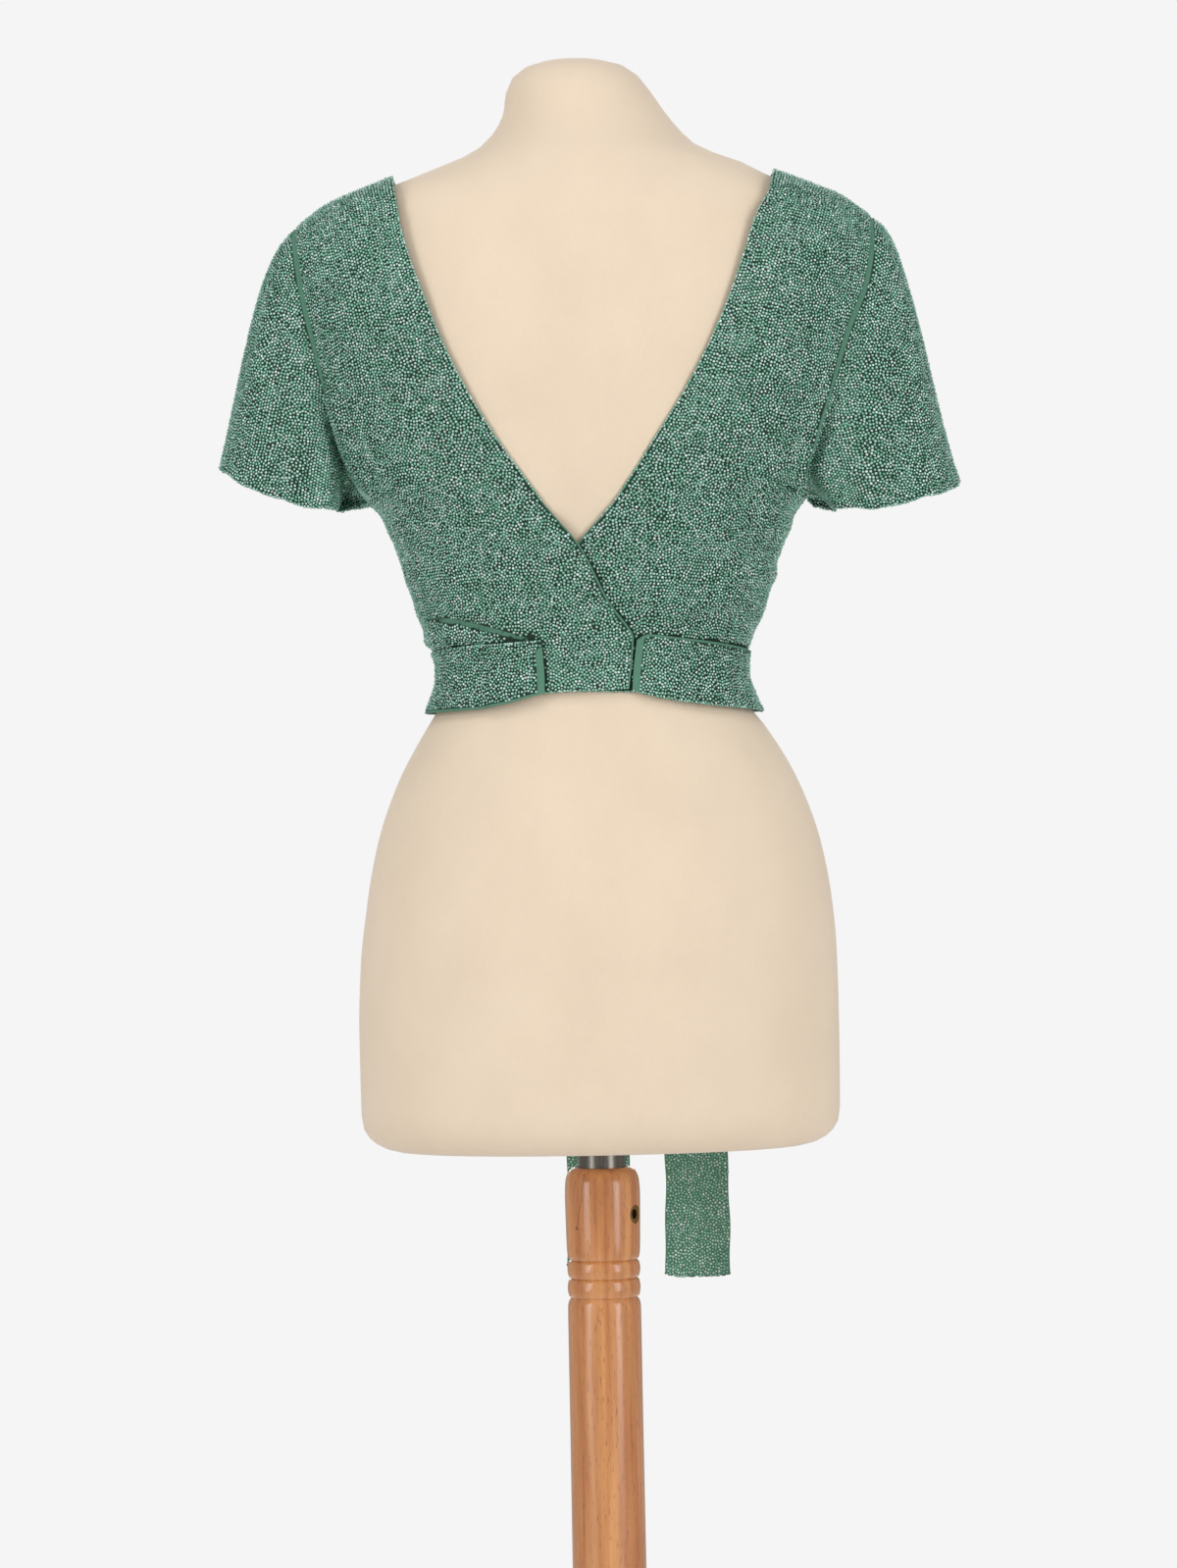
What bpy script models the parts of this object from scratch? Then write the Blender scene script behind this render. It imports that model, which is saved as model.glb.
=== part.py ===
"""A beaded wrap-back crop top on a limbless dress form and its turned wooden stand.

Metres, +Z up. -Y is the garment's back, which wraps over itself; +Y is its front, where the ties meet.
X is across the shoulders. The origin is the centre of the underside of the base, under the pole.
Heights and widths in the tables are millimetres, and MM turns them into metres.
"""

import math
from collections import namedtuple

import bmesh
import bpy
import numpy as np

MM = 0.001

# Driving dimensions of the cloth and of the way its layers lie on each other
CLOTH_WALL = 2.0 * MM
TIE_WALL = 2.5 * MM
SEAM_GAP = 0.3 * MM
LAYER_GAP = 1.2 * MM
BODY_EASE = 1.0 * MM
WRAP_LIFT = CLOTH_WALL + 0.9 * MM
WRAP_RAMP = 12.0 * MM
WRAP_MARGIN = 38.0 * MM

# How finely each piece is divided
PANEL_COLUMNS = 14
FRONT_COLUMNS = 11
SLEEVE_RINGS = 7
BODY_SIDES = 36
TURNED_SIDES = 28

# Driving dimensions of the stand
TORSO_BOTTOM = 798.5 * MM
MAST_RADIUS = 17.0 * MM
MAST_CLEARANCE = 0.3 * MM
MAST_FOOT = 500.0 * MM
MAST_HEAD = 857.0 * MM
SOCKET_DEPTH = 60.0 * MM
POLE_TOP = 783.0 * MM
POLE_BORE_FLOOR = 480.0 * MM
BASE_RADIUS = 190.0 * MM
BASE_TOP = 45.0 * MM
INSERT_HEIGHT = 750.0 * MM
INSERT_TURN = math.radians(61)
INSERT_RADIUS = 6.4 * MM
INSERT_BORE = 3.7 * MM
INSERT_HEAD = 25.6 * MM
INSERT_TIP = 18.6 * MM
SCREW_RADIUS = 3.4 * MM
SCREW_HEAD = 22.5 * MM
SCREW_TIP = 17.3 * MM
SCREW_SOCKET = 1.9 * MM

# The dress form in level sections: half width, the back and front faces, the line of greatest
# width, how square the section is (2 is an ellipse) and how far its middle lies off the centre.
Section = namedtuple("Section", "z half_width back front side squareness shift")
TORSO_SECTIONS = [
    Section(798.5, 146.0, -97, 86, -6, 2.25, 0),
    Section(800.5, 154.0, -103, 91, -6, 2.25, 0),
    Section(804.0, 160.5, -107, 95, -6, 2.25, 0),
    Section(808.0, 165.0, -110, 97.5, -6, 2.25, 0),
    Section(814.0, 168.6, -113, 99.5, -6, 2.25, 0),
    Section(824.0, 170.1, -115, 101, -6, 2.25, 0),
    Section(885.0, 170.6, -119, 105, -6, 2.25, 0),
    Section(930.0, 169.4, -119, 108, -6, 2.25, 0.7),
    Section(971.0, 165.5, -115, 110, -5, 2.25, 1.8),
    Section(1013.0, 158.0, -106, 108, -3, 2.2, 2.1),
    Section(1055.0, 143.7, -92, 103, 0, 2.2, 1.9),
    Section(1097.0, 120.2, -78, 95, 2, 2.2, 1.0),
    Section(1108.0, 112.2, -75, 93.5, 3, 2.2, 0),
    Section(1120.0, 108.6, -73, 93, 3, 2.2, 0),
    Section(1131.0, 105.9, -73, 92.5, 3, 2.2, 0),
    Section(1142.0, 105.9, -74, 93, 3, 2.2, 0),
    Section(1155.0, 108.8, -76, 94, 3, 2.2, 0),
    Section(1175.0, 118.2, -80, 96, 2, 2.2, 0),
    Section(1198.0, 126.0, -86, 99, 2, 2.25, 0),
    Section(1220.0, 133.0, -91, 101, 1, 2.3, 0),
    Section(1254.0, 143.5, -98, 104, 0, 2.4, 0),
    Section(1300.0, 152.0, -104, 104, -1, 2.45, 0),
    Section(1350.0, 162.0, -107, 99, -3, 2.45, 0),
    Section(1400.0, 172.0, -105, 88, -5, 2.4, 0),
    Section(1435.0, 175.5, -98, 77, -7, 2.3, 0),
    Section(1457.0, 171.0, -90, 69, -8, 2.2, 0),
    Section(1470.0, 161.0, -84, 65, -8, 2.2, 0),
    Section(1479.0, 146.0, -79, 62, -7, 2.2, 0),
    Section(1486.0, 129.0, -75, 60, -6, 2.2, 2),
    Section(1495.0, 109.9, -70, 59, -3, 2.15, 5),
    Section(1502.0, 91.6, -66, 59, -1, 2.1, 4.2),
    Section(1510.0, 77.2, -60, 60, 2, 2.05, 3.2),
    Section(1519.0, 68.3, -54, 61, 5, 2.0, 3.2),
    Section(1534.5, 58.0, -46, 63, 9, 2.0, 1.5),
    Section(1551.0, 51.2, -40, 61, 11, 2.0, -2.6),
    Section(1561.0, 45.2, -34, 56, 12, 2.0, -4.2),
    Section(1568.0, 36.0, -24, 47, 12, 2.0, -4.8),
    Section(1572.0, 23.0, -11, 35, 12, 2.0, -5.6),
]
TORSO_TOP = 1573.2 * MM
TORSO_TOP_SHIFT = -4.0 * MM
TORSO_TOP_Y = 12.0 * MM

# The inside of the cloth: its own half width and squareness. Its back and front lie on the form
# with the given extra ease, and it stands off the form round the armholes.
ClothSection = namedtuple("ClothSection", "z half_width ease squareness")
CLOTH_SECTIONS = [
    ClothSection(1095.0, 124.0, 0.0, 2.2),
    ClothSection(1108.0, 115.6, 0.0, 2.2),
    ClothSection(1120.0, 110.7, 0.0, 2.2),
    ClothSection(1131.0, 107.4, 0.0, 2.2),
    ClothSection(1142.0, 107.4, 0.2, 2.2),
    ClothSection(1155.0, 111.8, 0.4, 2.2),
    ClothSection(1175.0, 121.0, 0.8, 2.25),
    ClothSection(1198.0, 128.0, 1.0, 2.3),
    ClothSection(1220.0, 135.0, 1.0, 2.3),
    ClothSection(1243.0, 143.4, 1.2, 2.35),
    ClothSection(1256.0, 151.0, 1.4, 2.35),
    ClothSection(1270.0, 165.0, 1.6, 2.35),
    ClothSection(1285.0, 176.0, 1.7, 2.3),
    ClothSection(1305.0, 185.0, 1.8, 2.3),
    ClothSection(1330.0, 193.0, 2.0, 2.3),
    ClothSection(1365.0, 203.0, 2.0, 2.25),
    ClothSection(1400.0, 211.0, 1.8, 2.25),
    ClothSection(1430.0, 212.0, 1.6, 2.25),
    ClothSection(1446.0, 209.0, 1.6, 2.25),
    ClothSection(1453.5, 203.5, 1.8, 2.25),
    ClothSection(1462.0, 193.0, 2.2, 2.25),
    ClothSection(1469.0, 183.0, 2.4, 2.25),
    ClothSection(1476.5, 166.0, 2.6, 2.25),
    ClothSection(1484.0, 147.0, 2.8, 2.25),
    ClothSection(1488.3, 135.8, 2.8, 2.25),
    ClothSection(1496.0, 112.0, 2.8, 2.2),
]

# A general figure's bust: two soft mounds, which the cloth spans
BUST_SPREAD = 80.0 * MM
BUST_HEIGHT = 1296.0 * MM
BUST_DEPTH = 30.0 * MM
BUST_WIDTH = 47.0 * MM
BUST_RISE = 56.0 * MM
CLOTH_DROP = 84.0 * MM
BRIDGE_DEPTH = 20.0 * MM
BRIDGE_WIDTH = 44.0 * MM

# Rows of the cut from hem to shoulder. Each gives the height where the row meets the side, the
# armhole or the shoulder, how far out the back's armhole seam lies on the left and the right
# (0 is on the side line), the front's seam as degrees off the side line, and each panel's edge.
CutRow = namedtuple(
    "CutRow", "z left_seam right_seam front_seam left_x left_z right_x right_z front_x front_z"
)
CUT_ROWS = [
    CutRow(1117, 0, 0, 0, 25, 1122.5, -39, 1122, 0, 1114),
    CutRow(1128, 0, 0, 0, 26, 1131, -39.5, 1132, 0, 1127),
    CutRow(1141, 0, 0, 0, 27.5, 1144, -40, 1146, 0, 1141),
    CutRow(1157, 0, 0, 0, 28.5, 1158, -40, 1161, 0, 1160),
    CutRow(1182, 0, 0, 0, 12, 1184, -27, 1187, 0, 1187),
    CutRow(1210, 0, 0, 0, -8, 1223.4, -8, 1223.4, 0, 1222),
    CutRow(1235, 0, 0, 0, -30.6, 1249.5, 16.3, 1250, 0, 1256),
    CutRow(1257, 149, 149.5, 3, -50.8, 1277, 33.3, 1274, 0, 1290),
    CutRow(1272, 163.5, 150, 12, -65.8, 1299, 48.3, 1297, 0, 1320),
    CutRow(1297, 174, 159, 17, -84.6, 1331, 66.8, 1325, 0, 1350),
    CutRow(1330, 182, 170.6, 17.5, -101.8, 1367, 87.4, 1363, 0, 1382),
    CutRow(1370, 191, 182.8, 17, -113.4, 1398, 101, 1394, 54, 1391),
    CutRow(1406, 198.5, 197, 14.5, -122.5, 1425, 111.8, 1424, 94, 1416),
    CutRow(1432, 202, 201.5, 9, -129.6, 1452, 121.2, 1452, 116.5, 1449),
    CutRow(1445, 204, 202, 5, -132.4, 1472, 130.6, 1470, 128, 1472),
    CutRow(1451, 204.3, 203, 2.5, -134.0, 1482, 133.6, 1481, 133.2, 1482),
    CutRow(1453.2, 203.6, 203.2, 1, -134.8, 1486.8, 134.8, 1486.6, 134.8, 1486.8),
    CutRow(1453.9, 203.5, 203.1, 0, -135.2, 1488.3, 135.2, 1488.3, 135.2, 1488.3),
]
UNDERARM_ROW = 7
NECKLINE_ROW = 10
SHOULDER_ROW = len(CUT_ROWS) - 1
HALVED_ROWS = (7, 13)

# Each sleeve's cuff: its outermost and innermost points, seen from the back, and its sag between
Cuff = namedtuple("Cuff", "side outer_x outer_z inner_x inner_z sag half_depth lean")
CUFFS = [
    Cuff(-1, 262.5, 1283, 163, 1253.0, 9.5, 50, 37),
    Cuff(1, 264.0, 1262.5, 159, 1247.5, 7.5, 50, 54),
]
CUFF_Y = -5.0 * MM
CUFF_FRONT_RISE = 11.0 * MM
CAP_REACH = 112.0 * MM
UNDERARM_REACH = 13.0 * MM
UNDERARM_LEVEL = 0.7
CAP_PUFF = 0.18

# Soft folds of the sleeves: degrees round from the top of the sleeve towards the back, half
# width in degrees, depth and the stretch of the sleeve's length that it takes
Fold = namedtuple("Fold", "side middle half_width depth start end")
SLEEVE_FOLDS = [
    Fold(-1, 138, 24, -8.0, 0.15, 1.0),
    Fold(-1, 100, 22, 3.0, 0.2, 1.0),
    Fold(1, 146, 22, -7.0, 0.15, 1.0),
    Fold(1, 108, 24, 2.5, 0.2, 1.0),
    Fold(-1, 228, 22, -5.0, 0.15, 1.0),
    Fold(1, 222, 22, -5.0, 0.15, 1.0),
]

# The ties: degrees round from the centre back towards +X, the band's two edges, how many degrees
# its lower edge lags behind, and how far it rises off the cloth to enter the knot
TieRow = namedtuple("TieRow", "angle top bottom lean rise")
TIE_LEFT = [
    TieRow(-23.5, 1157.5, 1119.4, 0.0, 0.0),
    TieRow(-49.0, 1155.5, 1109.2, 0.0, 0.0),
    TieRow(-90.0, 1152.0, 1106.5, 0.0, 0.0),
    TieRow(-135.0, 1151.0, 1107.0, 0.0, 0.0),
    TieRow(-172.0, 1148.0, 1111.0, 0.0, 0.0),
    TieRow(-190.7, 1144.0, 1116.0, 0.0, 7.5),
]
TIE_RIGHT = [
    TieRow(21.4, 1156.5, 1121.2, 1.6, 0.0),
    TieRow(27.0, 1160.3, 1117.8, 1.0, 0.0),
    TieRow(46.0, 1156.8, 1111.0, 0.0, 0.0),
    TieRow(90.0, 1150.0, 1104.2, 0.0, 0.0),
    TieRow(122.0, 1150.0, 1107.0, 0.0, 0.0),
    TieRow(146.2, 1144.0, 1116.0, 0.0, 14.0),
]
TIE_STEPS = 28
TIE_COLUMNS = 3

# The knot in front, and the two ends that hang from it
KNOT_X = 40.0 * MM
KNOT_Z = 1130.0 * MM
KNOT_HALF_HEIGHT = 21.0 * MM
KNOT_HALF_WIDTH = 21.4 * MM
KNOT_HALF_DEPTH = 9.5 * MM
KNOT_SIDES = 24
KNOT_RINGS = 10
EndRow = namedtuple("EndRow", "z middle half_width lift")
END_LEFT = [
    EndRow(1108.7, 28.5, 11.0, 9.0),
    EndRow(1085.0, 25.5, 13.8, 5.5),
    EndRow(1040.0, 18.0, 20.0, 2.0),
    EndRow(960.0, 7.0, 23.5, 1.2),
    EndRow(860.0, 0.0, 23.4, 1.2),
    EndRow(775.0, -2.4, 23.2, 1.2),
    EndRow(700.0, -3.0, 23.4, 1.2),
]
END_RIGHT = [
    EndRow(1108.7, 51.5, 11.0, 9.0),
    EndRow(1085.0, 55.2, 14.6, 5.5),
    EndRow(1040.0, 61.0, 21.0, 2.0),
    EndRow(960.0, 66.5, 23.0, 1.2),
    EndRow(860.0, 69.2, 23.2, 1.2),
    EndRow(771.0, 69.7, 23.2, 1.2),
    EndRow(693.0, 69.3, 23.6, 1.2),
]
END_STEPS = 18
END_COLUMNS = 3
BELLY_HEIGHT = 965.0 * MM
END_FREE = 1055.0 * MM

# Turned profiles, from the top down: radius and height
Turn = namedtuple("Turn", "radius z")
POLE_PROFILE = [
    Turn(17.4, 480.0),
    Turn(17.4, 783.0),
    Turn(19.0, 783.0),
    Turn(23.4, 780.6),
    Turn(25.8, 776.0),
    Turn(26.7, 764.0),
    Turn(26.4, 742.0),
    Turn(25.9, 726.0),
    Turn(24.4, 720.8),
    Turn(23.9, 719.8),
    Turn(24.9, 718.4),
    Turn(25.9, 713.5),
    Turn(24.9, 708.4),
    Turn(23.9, 707.2),
    Turn(24.9, 705.8),
    Turn(25.9, 700.8),
    Turn(24.9, 695.6),
    Turn(23.9, 694.4),
    Turn(25.0, 692.4),
    Turn(25.9, 688.0),
    Turn(26.0, 600.0),
    Turn(26.4, 450.0),
    Turn(27.0, 250.0),
    Turn(27.4, 90.0),
    Turn(27.4, 45.3),
]
BASE_PROFILE = [
    Turn(0.0, 45.0),
    Turn(40.0, 45.0),
    Turn(43.5, 43.4),
    Turn(45.0, 40.0),
    Turn(47.5, 34.5),
    Turn(56.0, 30.5),
    Turn(110.0, 26.5),
    Turn(176.0, 22.0),
    Turn(185.0, 19.5),
    Turn(189.0, 15.0),
    Turn(190.0, 10.0),
    Turn(188.5, 4.0),
    Turn(184.5, 0.0),
    Turn(0.0, 0.0),
]

# Colours (linear), roughness and metallic value of each finish
Finish = namedtuple("Finish", "colour roughness metallic")
FINISHES = {
    "beaded_cloth": Finish((0.145, 0.262, 0.205), 0.45, 0.0),
    "form_jersey": Finish((0.84, 0.70, 0.53), 0.85, 0.0),
    "beech": Finish((0.56, 0.27, 0.12), 0.35, 0.0),
    "steel": Finish((0.45, 0.44, 0.41), 0.3, 1.0),
    "brass": Finish((0.52, 0.42, 0.2), 0.4, 1.0),
}


def clear_scene():
    for obj in list(bpy.data.objects):
        bpy.data.objects.remove(obj)


def material(name):
    finish = FINISHES[name]
    made = bpy.data.materials.get(name)
    if made is None:
        made = bpy.data.materials.new(name)
        made.use_nodes = True
        shader = made.node_tree.nodes["Principled BSDF"]
        shader.inputs["Base Color"].default_value = (*finish.colour, 1.0)
        shader.inputs["Roughness"].default_value = finish.roughness
        shader.inputs["Metallic"].default_value = finish.metallic
    return made


class Smooth:
    """A curve through a table's column that never overshoots between two rows."""

    def __init__(self, places, values):
        self.x = np.asarray(places, float)
        self.y = np.asarray(values, float)
        step = np.diff(self.x)
        rate = np.diff(self.y) / step
        slope = np.zeros(len(self.x))
        for i in range(1, len(self.x) - 1):
            if rate[i - 1] * rate[i] > 0:
                before = 2 * step[i] + step[i - 1]
                after = step[i] + 2 * step[i - 1]
                slope[i] = (before + after) / (before / rate[i - 1] + after / rate[i])
        slope[0] = rate[0]
        slope[-1] = rate[-1]
        self.slope = slope

    def __call__(self, place):
        place = min(max(place, self.x[0]), self.x[-1])
        i = int(np.clip(np.searchsorted(self.x, place) - 1, 0, len(self.x) - 2))
        step = self.x[i + 1] - self.x[i]
        t = (place - self.x[i]) / step
        a = (1 + 2 * t) * (1 - t) ** 2 * self.y[i] + t * t * (3 - 2 * t) * self.y[i + 1]
        b = t * (1 - t) ** 2 * self.slope[i] - t * t * (1 - t) * self.slope[i + 1]
        return a + step * b


def columns(table, scale, key="z"):
    """Each column of a table as a smooth curve over its key column, in metres."""
    places = [getattr(row, key) * scale for row in table]
    order = np.argsort(places)
    found = {}
    for name in table[0]._fields:
        unit = 1.0 if name in ("squareness", "angle") else MM
        values = [getattr(table[i], name) * unit for i in order]
        found[name] = Smooth([places[i] for i in order], values)
    return found


def smoothstep(x):
    x = min(max(x, 0.0), 1.0)
    return x * x * (3 - 2 * x)


def bell(x, width):
    return math.exp(-((x / width) ** 2))


TORSO = columns(TORSO_SECTIONS, MM)
CLOTH = columns(CLOTH_SECTIONS, MM)


def section_sizes(z, cloth):
    """Half width, back, front, side line, squareness and shift of the form or the cloth at z."""
    if not cloth:
        return [TORSO[name](z) for name in Section._fields[1:]]
    ease = BODY_EASE + CLOTH["ease"](z)
    return [
        CLOTH["half_width"](z),
        TORSO["back"](z) - ease,
        TORSO["front"](z) + ease,
        TORSO["side"](z),
        CLOTH["squareness"](z),
        0.0,
    ]


def bust(x, z, cloth):
    """How far the bust brings the front forward at x and z."""
    across = bell(abs(x) - BUST_SPREAD, BUST_WIDTH)
    drop = CLOTH_DROP if cloth and z < BUST_HEIGHT else BUST_RISE
    depth = BUST_DEPTH * across * bell(z - BUST_HEIGHT, drop)
    if cloth:
        depth += BRIDGE_DEPTH * bell(x, BRIDGE_WIDTH) * bell(z - BUST_HEIGHT, drop)
    return depth


def body_point(angle, z, cloth):
    """The point of the level section at z, angle radians round from the centre back to +X."""
    half_width, back, front, side, squareness, shift = section_sizes(z, cloth)
    across, behind = math.sin(angle), math.cos(angle)
    depth = side - back if behind >= 0 else front - side
    power = (abs(across) / half_width) ** squareness
    power += (abs(behind) / depth) ** squareness
    radius = power ** (-1 / squareness)
    x, y = shift + radius * across, side - radius * behind
    if behind < 0:
        y += bust(x, z, cloth) * smoothstep(-2 * behind)
    return np.array((x, y, z))


def body_normal(angle, z, cloth=True):
    step_angle, step_z = 0.01, 1.0 * MM
    round_it = body_point(angle + step_angle, z, cloth) - body_point(angle - step_angle, z, cloth)
    up = body_point(angle, z + step_z, cloth) - body_point(angle, z - step_z, cloth)
    normal = np.cross(round_it, up)
    return normal / np.linalg.norm(normal)


def angle_at(x, z, in_front=False):
    """The angle at which the cloth's section at z passes x."""
    half_width, back, front, side, squareness, _ = section_sizes(z, True)
    share = min(abs(x) / half_width, 1.0)
    depth = front - side if in_front else side - back
    behind = depth * (1 - share**squareness) ** (1 / squareness)
    return math.atan2(math.copysign(share * half_width, x), -behind if in_front else behind)


def layered(angle, z, offset):
    """A point that far outside the inner face of the cloth."""
    return body_point(angle, z, True) + body_normal(angle, z) * offset


def split_shortest(face, inner, outer):
    """The two triangles of a four-sided face, cut the same way in both skins."""
    a, b, c, d = face
    first = np.linalg.norm(inner[a] - inner[c]) + np.linalg.norm(outer[a] - outer[c])
    second = np.linalg.norm(inner[b] - inner[d]) + np.linalg.norm(outer[b] - outer[d])
    return [(a, b, c), (a, c, d)] if first <= second else [(a, b, d), (b, c, d)]


def closed_wall(name, inner, outer, faces, finish):
    """A closed solid between two skins with the same faces, stitched along their free edges."""
    count = len(inner)
    faces = [part for face in faces for part in split_shortest(face, inner, outer)]
    used = {}
    for face in faces:
        for a, b in zip(face, face[1:] + face[:1], strict=True):
            used.setdefault((min(a, b), max(a, b)), []).append((a, b))
    rim = [pair[0] for pair in used.values() if len(pair) == 1]
    skin = [tuple(i + count for i in face) for face in faces]
    lining = [tuple(reversed(face)) for face in faces]
    edge = [(b + count, a + count, a, b) for a, b in rim]
    mesh = bpy.data.meshes.new(name)
    mesh.from_pydata([*map(tuple, inner), *map(tuple, outer)], [], skin + lining + edge)
    return finished(name, mesh, finish)


def finished(name, mesh, finish, crease=math.radians(50)):
    """An object for the mesh, with its normals outwards, shaded smooth but for its sharp edges."""
    work = bmesh.new()
    work.from_mesh(mesh)
    loose = [v for v in work.verts if not v.link_faces]
    bmesh.ops.delete(work, geom=loose, context="VERTS")
    bmesh.ops.recalc_face_normals(work, faces=work.faces)
    work.to_mesh(mesh)
    work.free()
    mesh.materials.append(material(finish))
    mesh.shade_smooth()
    mesh.set_sharp_from_angle(angle=crease)
    obj = bpy.data.objects.new(name, mesh)
    bpy.context.scene.collection.objects.link(obj)
    return obj


def grid_faces(rows, cols, index):
    return [
        (index(r, c), index(r, c + 1), index(r + 1, c + 1), index(r + 1, c))
        for r in range(rows)
        for c in range(cols)
    ]


def row_places():
    """Row numbers of the cut, closer together up the armhole."""
    first, last = HALVED_ROWS
    halved = [first + i / 2 for i in range(2 * (last - first) + 1)]
    return [*range(first), *halved, *range(last + 1, SHOULDER_ROW + 1)]


def cut_column(name):
    """One column of the cut as a curve over the row number, in degrees or in metres."""
    unit = math.radians(1) if name == "front_seam" else MM
    return Smooth(range(len(CUT_ROWS)), [getattr(row, name) * unit for row in CUT_ROWS])


CUT = {name: cut_column(name) for name in CutRow._fields}
ROWS = row_places()


def outer_edge(row, side, in_front):
    """Angle and height where a row meets the side seam, armhole or shoulder seam."""
    z = CUT["z"](row)
    clear = SEAM_GAP / 2 / CLOTH["half_width"](z)
    quarter = side * math.pi / 2
    on_seam = UNDERARM_ROW < row < SHOULDER_ROW
    if in_front:
        away = CUT["front_seam"](row) if on_seam else 0.0
        return quarter + side * max(away, clear), z
    seam = CUT["left_seam" if side < 0 else "right_seam"]
    angle = angle_at(side * seam(row), z) if on_seam else quarter
    return side * min(abs(angle), math.pi / 2 - clear), z


def inner_edge(row, panel, side):
    """Angle and height of a panel's neckline, wrap or centre edge."""
    x = CUT[panel + "_x"](row)
    z = CUT[panel + "_z"](row)
    if row >= SHOULDER_ROW:
        return outer_edge(row, side, panel == "front")[0], z
    if panel == "front":
        return angle_at(side * max(x, 1e-9), z, True), z
    return angle_at(x, z), z


def wrap_lift(x, z):
    """How far the left back panel is lifted where it lies over the right one."""
    under = Smooth(
        [row.right_z * MM for row in CUT_ROWS], [row.right_x * MM for row in CUT_ROWS]
    )
    return WRAP_LIFT * smoothstep((x - under(z) + WRAP_MARGIN) / WRAP_RAMP)


def panel_skins(panel, side, cols, lift):
    """The two skins of a panel as lists of rows of points."""
    in_front = panel == "front"
    inner, outer = [], []
    for row in ROWS:
        start, start_z = outer_edge(row, side, in_front)
        end, end_z = inner_edge(row, panel, side)
        low, high = [], []
        for c in range(cols + 1):
            t = c / cols
            angle = start + (end - start) * t
            z = start_z + (end_z - start_z) * t
            normal = body_normal(angle, z)
            base = body_point(angle, z, True)
            raised = lift(base[0], z)
            low.append(base + normal * raised)
            high.append(base + normal * (raised + CLOTH_WALL))
        inner.append(low)
        outer.append(high)
    return inner, outer


def back_panel(name, panel, side, lift):
    inner, outer = panel_skins(panel, side, PANEL_COLUMNS, lift)
    width = PANEL_COLUMNS + 1
    faces = grid_faces(len(ROWS) - 1, PANEL_COLUMNS, lambda r, c: r * width + c)
    return closed_wall(name, sum(inner, []), sum(outer, []), faces, "beaded_cloth")


def front_panel():
    """One piece from side seam to side seam, whose halves join below the neckline."""
    low, high, faces, number = [], [], [], {}
    for side in (-1, 1):
        inner, outer = panel_skins("front", side, FRONT_COLUMNS, lambda x, z: 0.0)
        for r, row in enumerate(ROWS):
            for c in range(FRONT_COLUMNS + 1):
                joined = c == FRONT_COLUMNS and row <= NECKLINE_ROW
                key = (r, c, 0 if joined else side)
                if key not in number:
                    number[key] = len(low)
                    low.append(inner[r][c])
                    high.append(outer[r][c])

        def index(r, c, side=side):
            joined = c == FRONT_COLUMNS and ROWS[r] <= NECKLINE_ROW
            return number[(r, c, 0 if joined else side)]

        made = grid_faces(len(ROWS) - 1, FRONT_COLUMNS, index)
        faces += made if side > 0 else [tuple(reversed(face)) for face in made]
    return closed_wall("front", low, high, faces, "beaded_cloth")


def armhole_loop(side):
    """Inner and outer points of the armhole's edge, and its two directions, from the shoulder
    down the back to the underarm and up the front, with one point for each row of the cut."""
    down = [row for row in reversed(ROWS) if row >= UNDERARM_ROW]
    path = [(row, False) for row in down[:-1]] + [(row, True) for row in reversed(down[1:])]
    low, high, normals = [], [], []
    for row, in_front in path:
        angle, z = outer_edge(row, side, in_front)
        if row in (UNDERARM_ROW, SHOULDER_ROW):
            angle = side * math.pi / 2
        normal = body_normal(angle, z)
        base = body_point(angle, z, True)
        low.append(base)
        high.append(base + normal * CLOTH_WALL)
        normals.append(normal)
    low, high, normals = map(np.array, (low, high, normals))
    middle = (low + high) / 2
    along = np.roll(middle, -1, 0) - np.roll(middle, 1, 0)
    away = np.cross(along, normals)
    away /= np.linalg.norm(away, axis=1)[:, None]
    centre = middle.mean(0)
    outwards = np.sign(side * away[0][0])
    return low, high, middle, normals, away * outwards, centre


def cuff_point(cuff, turn):
    """A point of the cuff's edge: turn is 0 at its outermost point, a quarter at the back."""
    share = (1 + math.cos(turn)) / 2
    x = cuff.inner_x + (cuff.outer_x - cuff.inner_x) * share
    y = -cuff.half_depth * math.sin(turn)
    z = cuff.inner_z + (cuff.outer_z - cuff.inner_z) * share
    z -= cuff.sag * math.sin(math.pi * share)
    rise = CUFF_FRONT_RISE * ((1 - math.sin(turn)) / 2) ** 2
    return np.array((cuff.side * x * MM, CUFF_Y + y * MM, z * MM + rise))


def sleeve_fold(side, turn, share):
    """How far the sleeve's folds bring its wall out, at a turn and a share of its length."""
    found = 0.0
    for fold in SLEEVE_FOLDS:
        if fold.side == side and share > fold.start:
            reach = smoothstep((share - fold.start) / (fold.end - fold.start))
            round_it = (math.degrees(turn) - fold.middle) / fold.half_width
            found += fold.depth * MM * reach * bell(round_it, 1.0)
    return found


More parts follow.
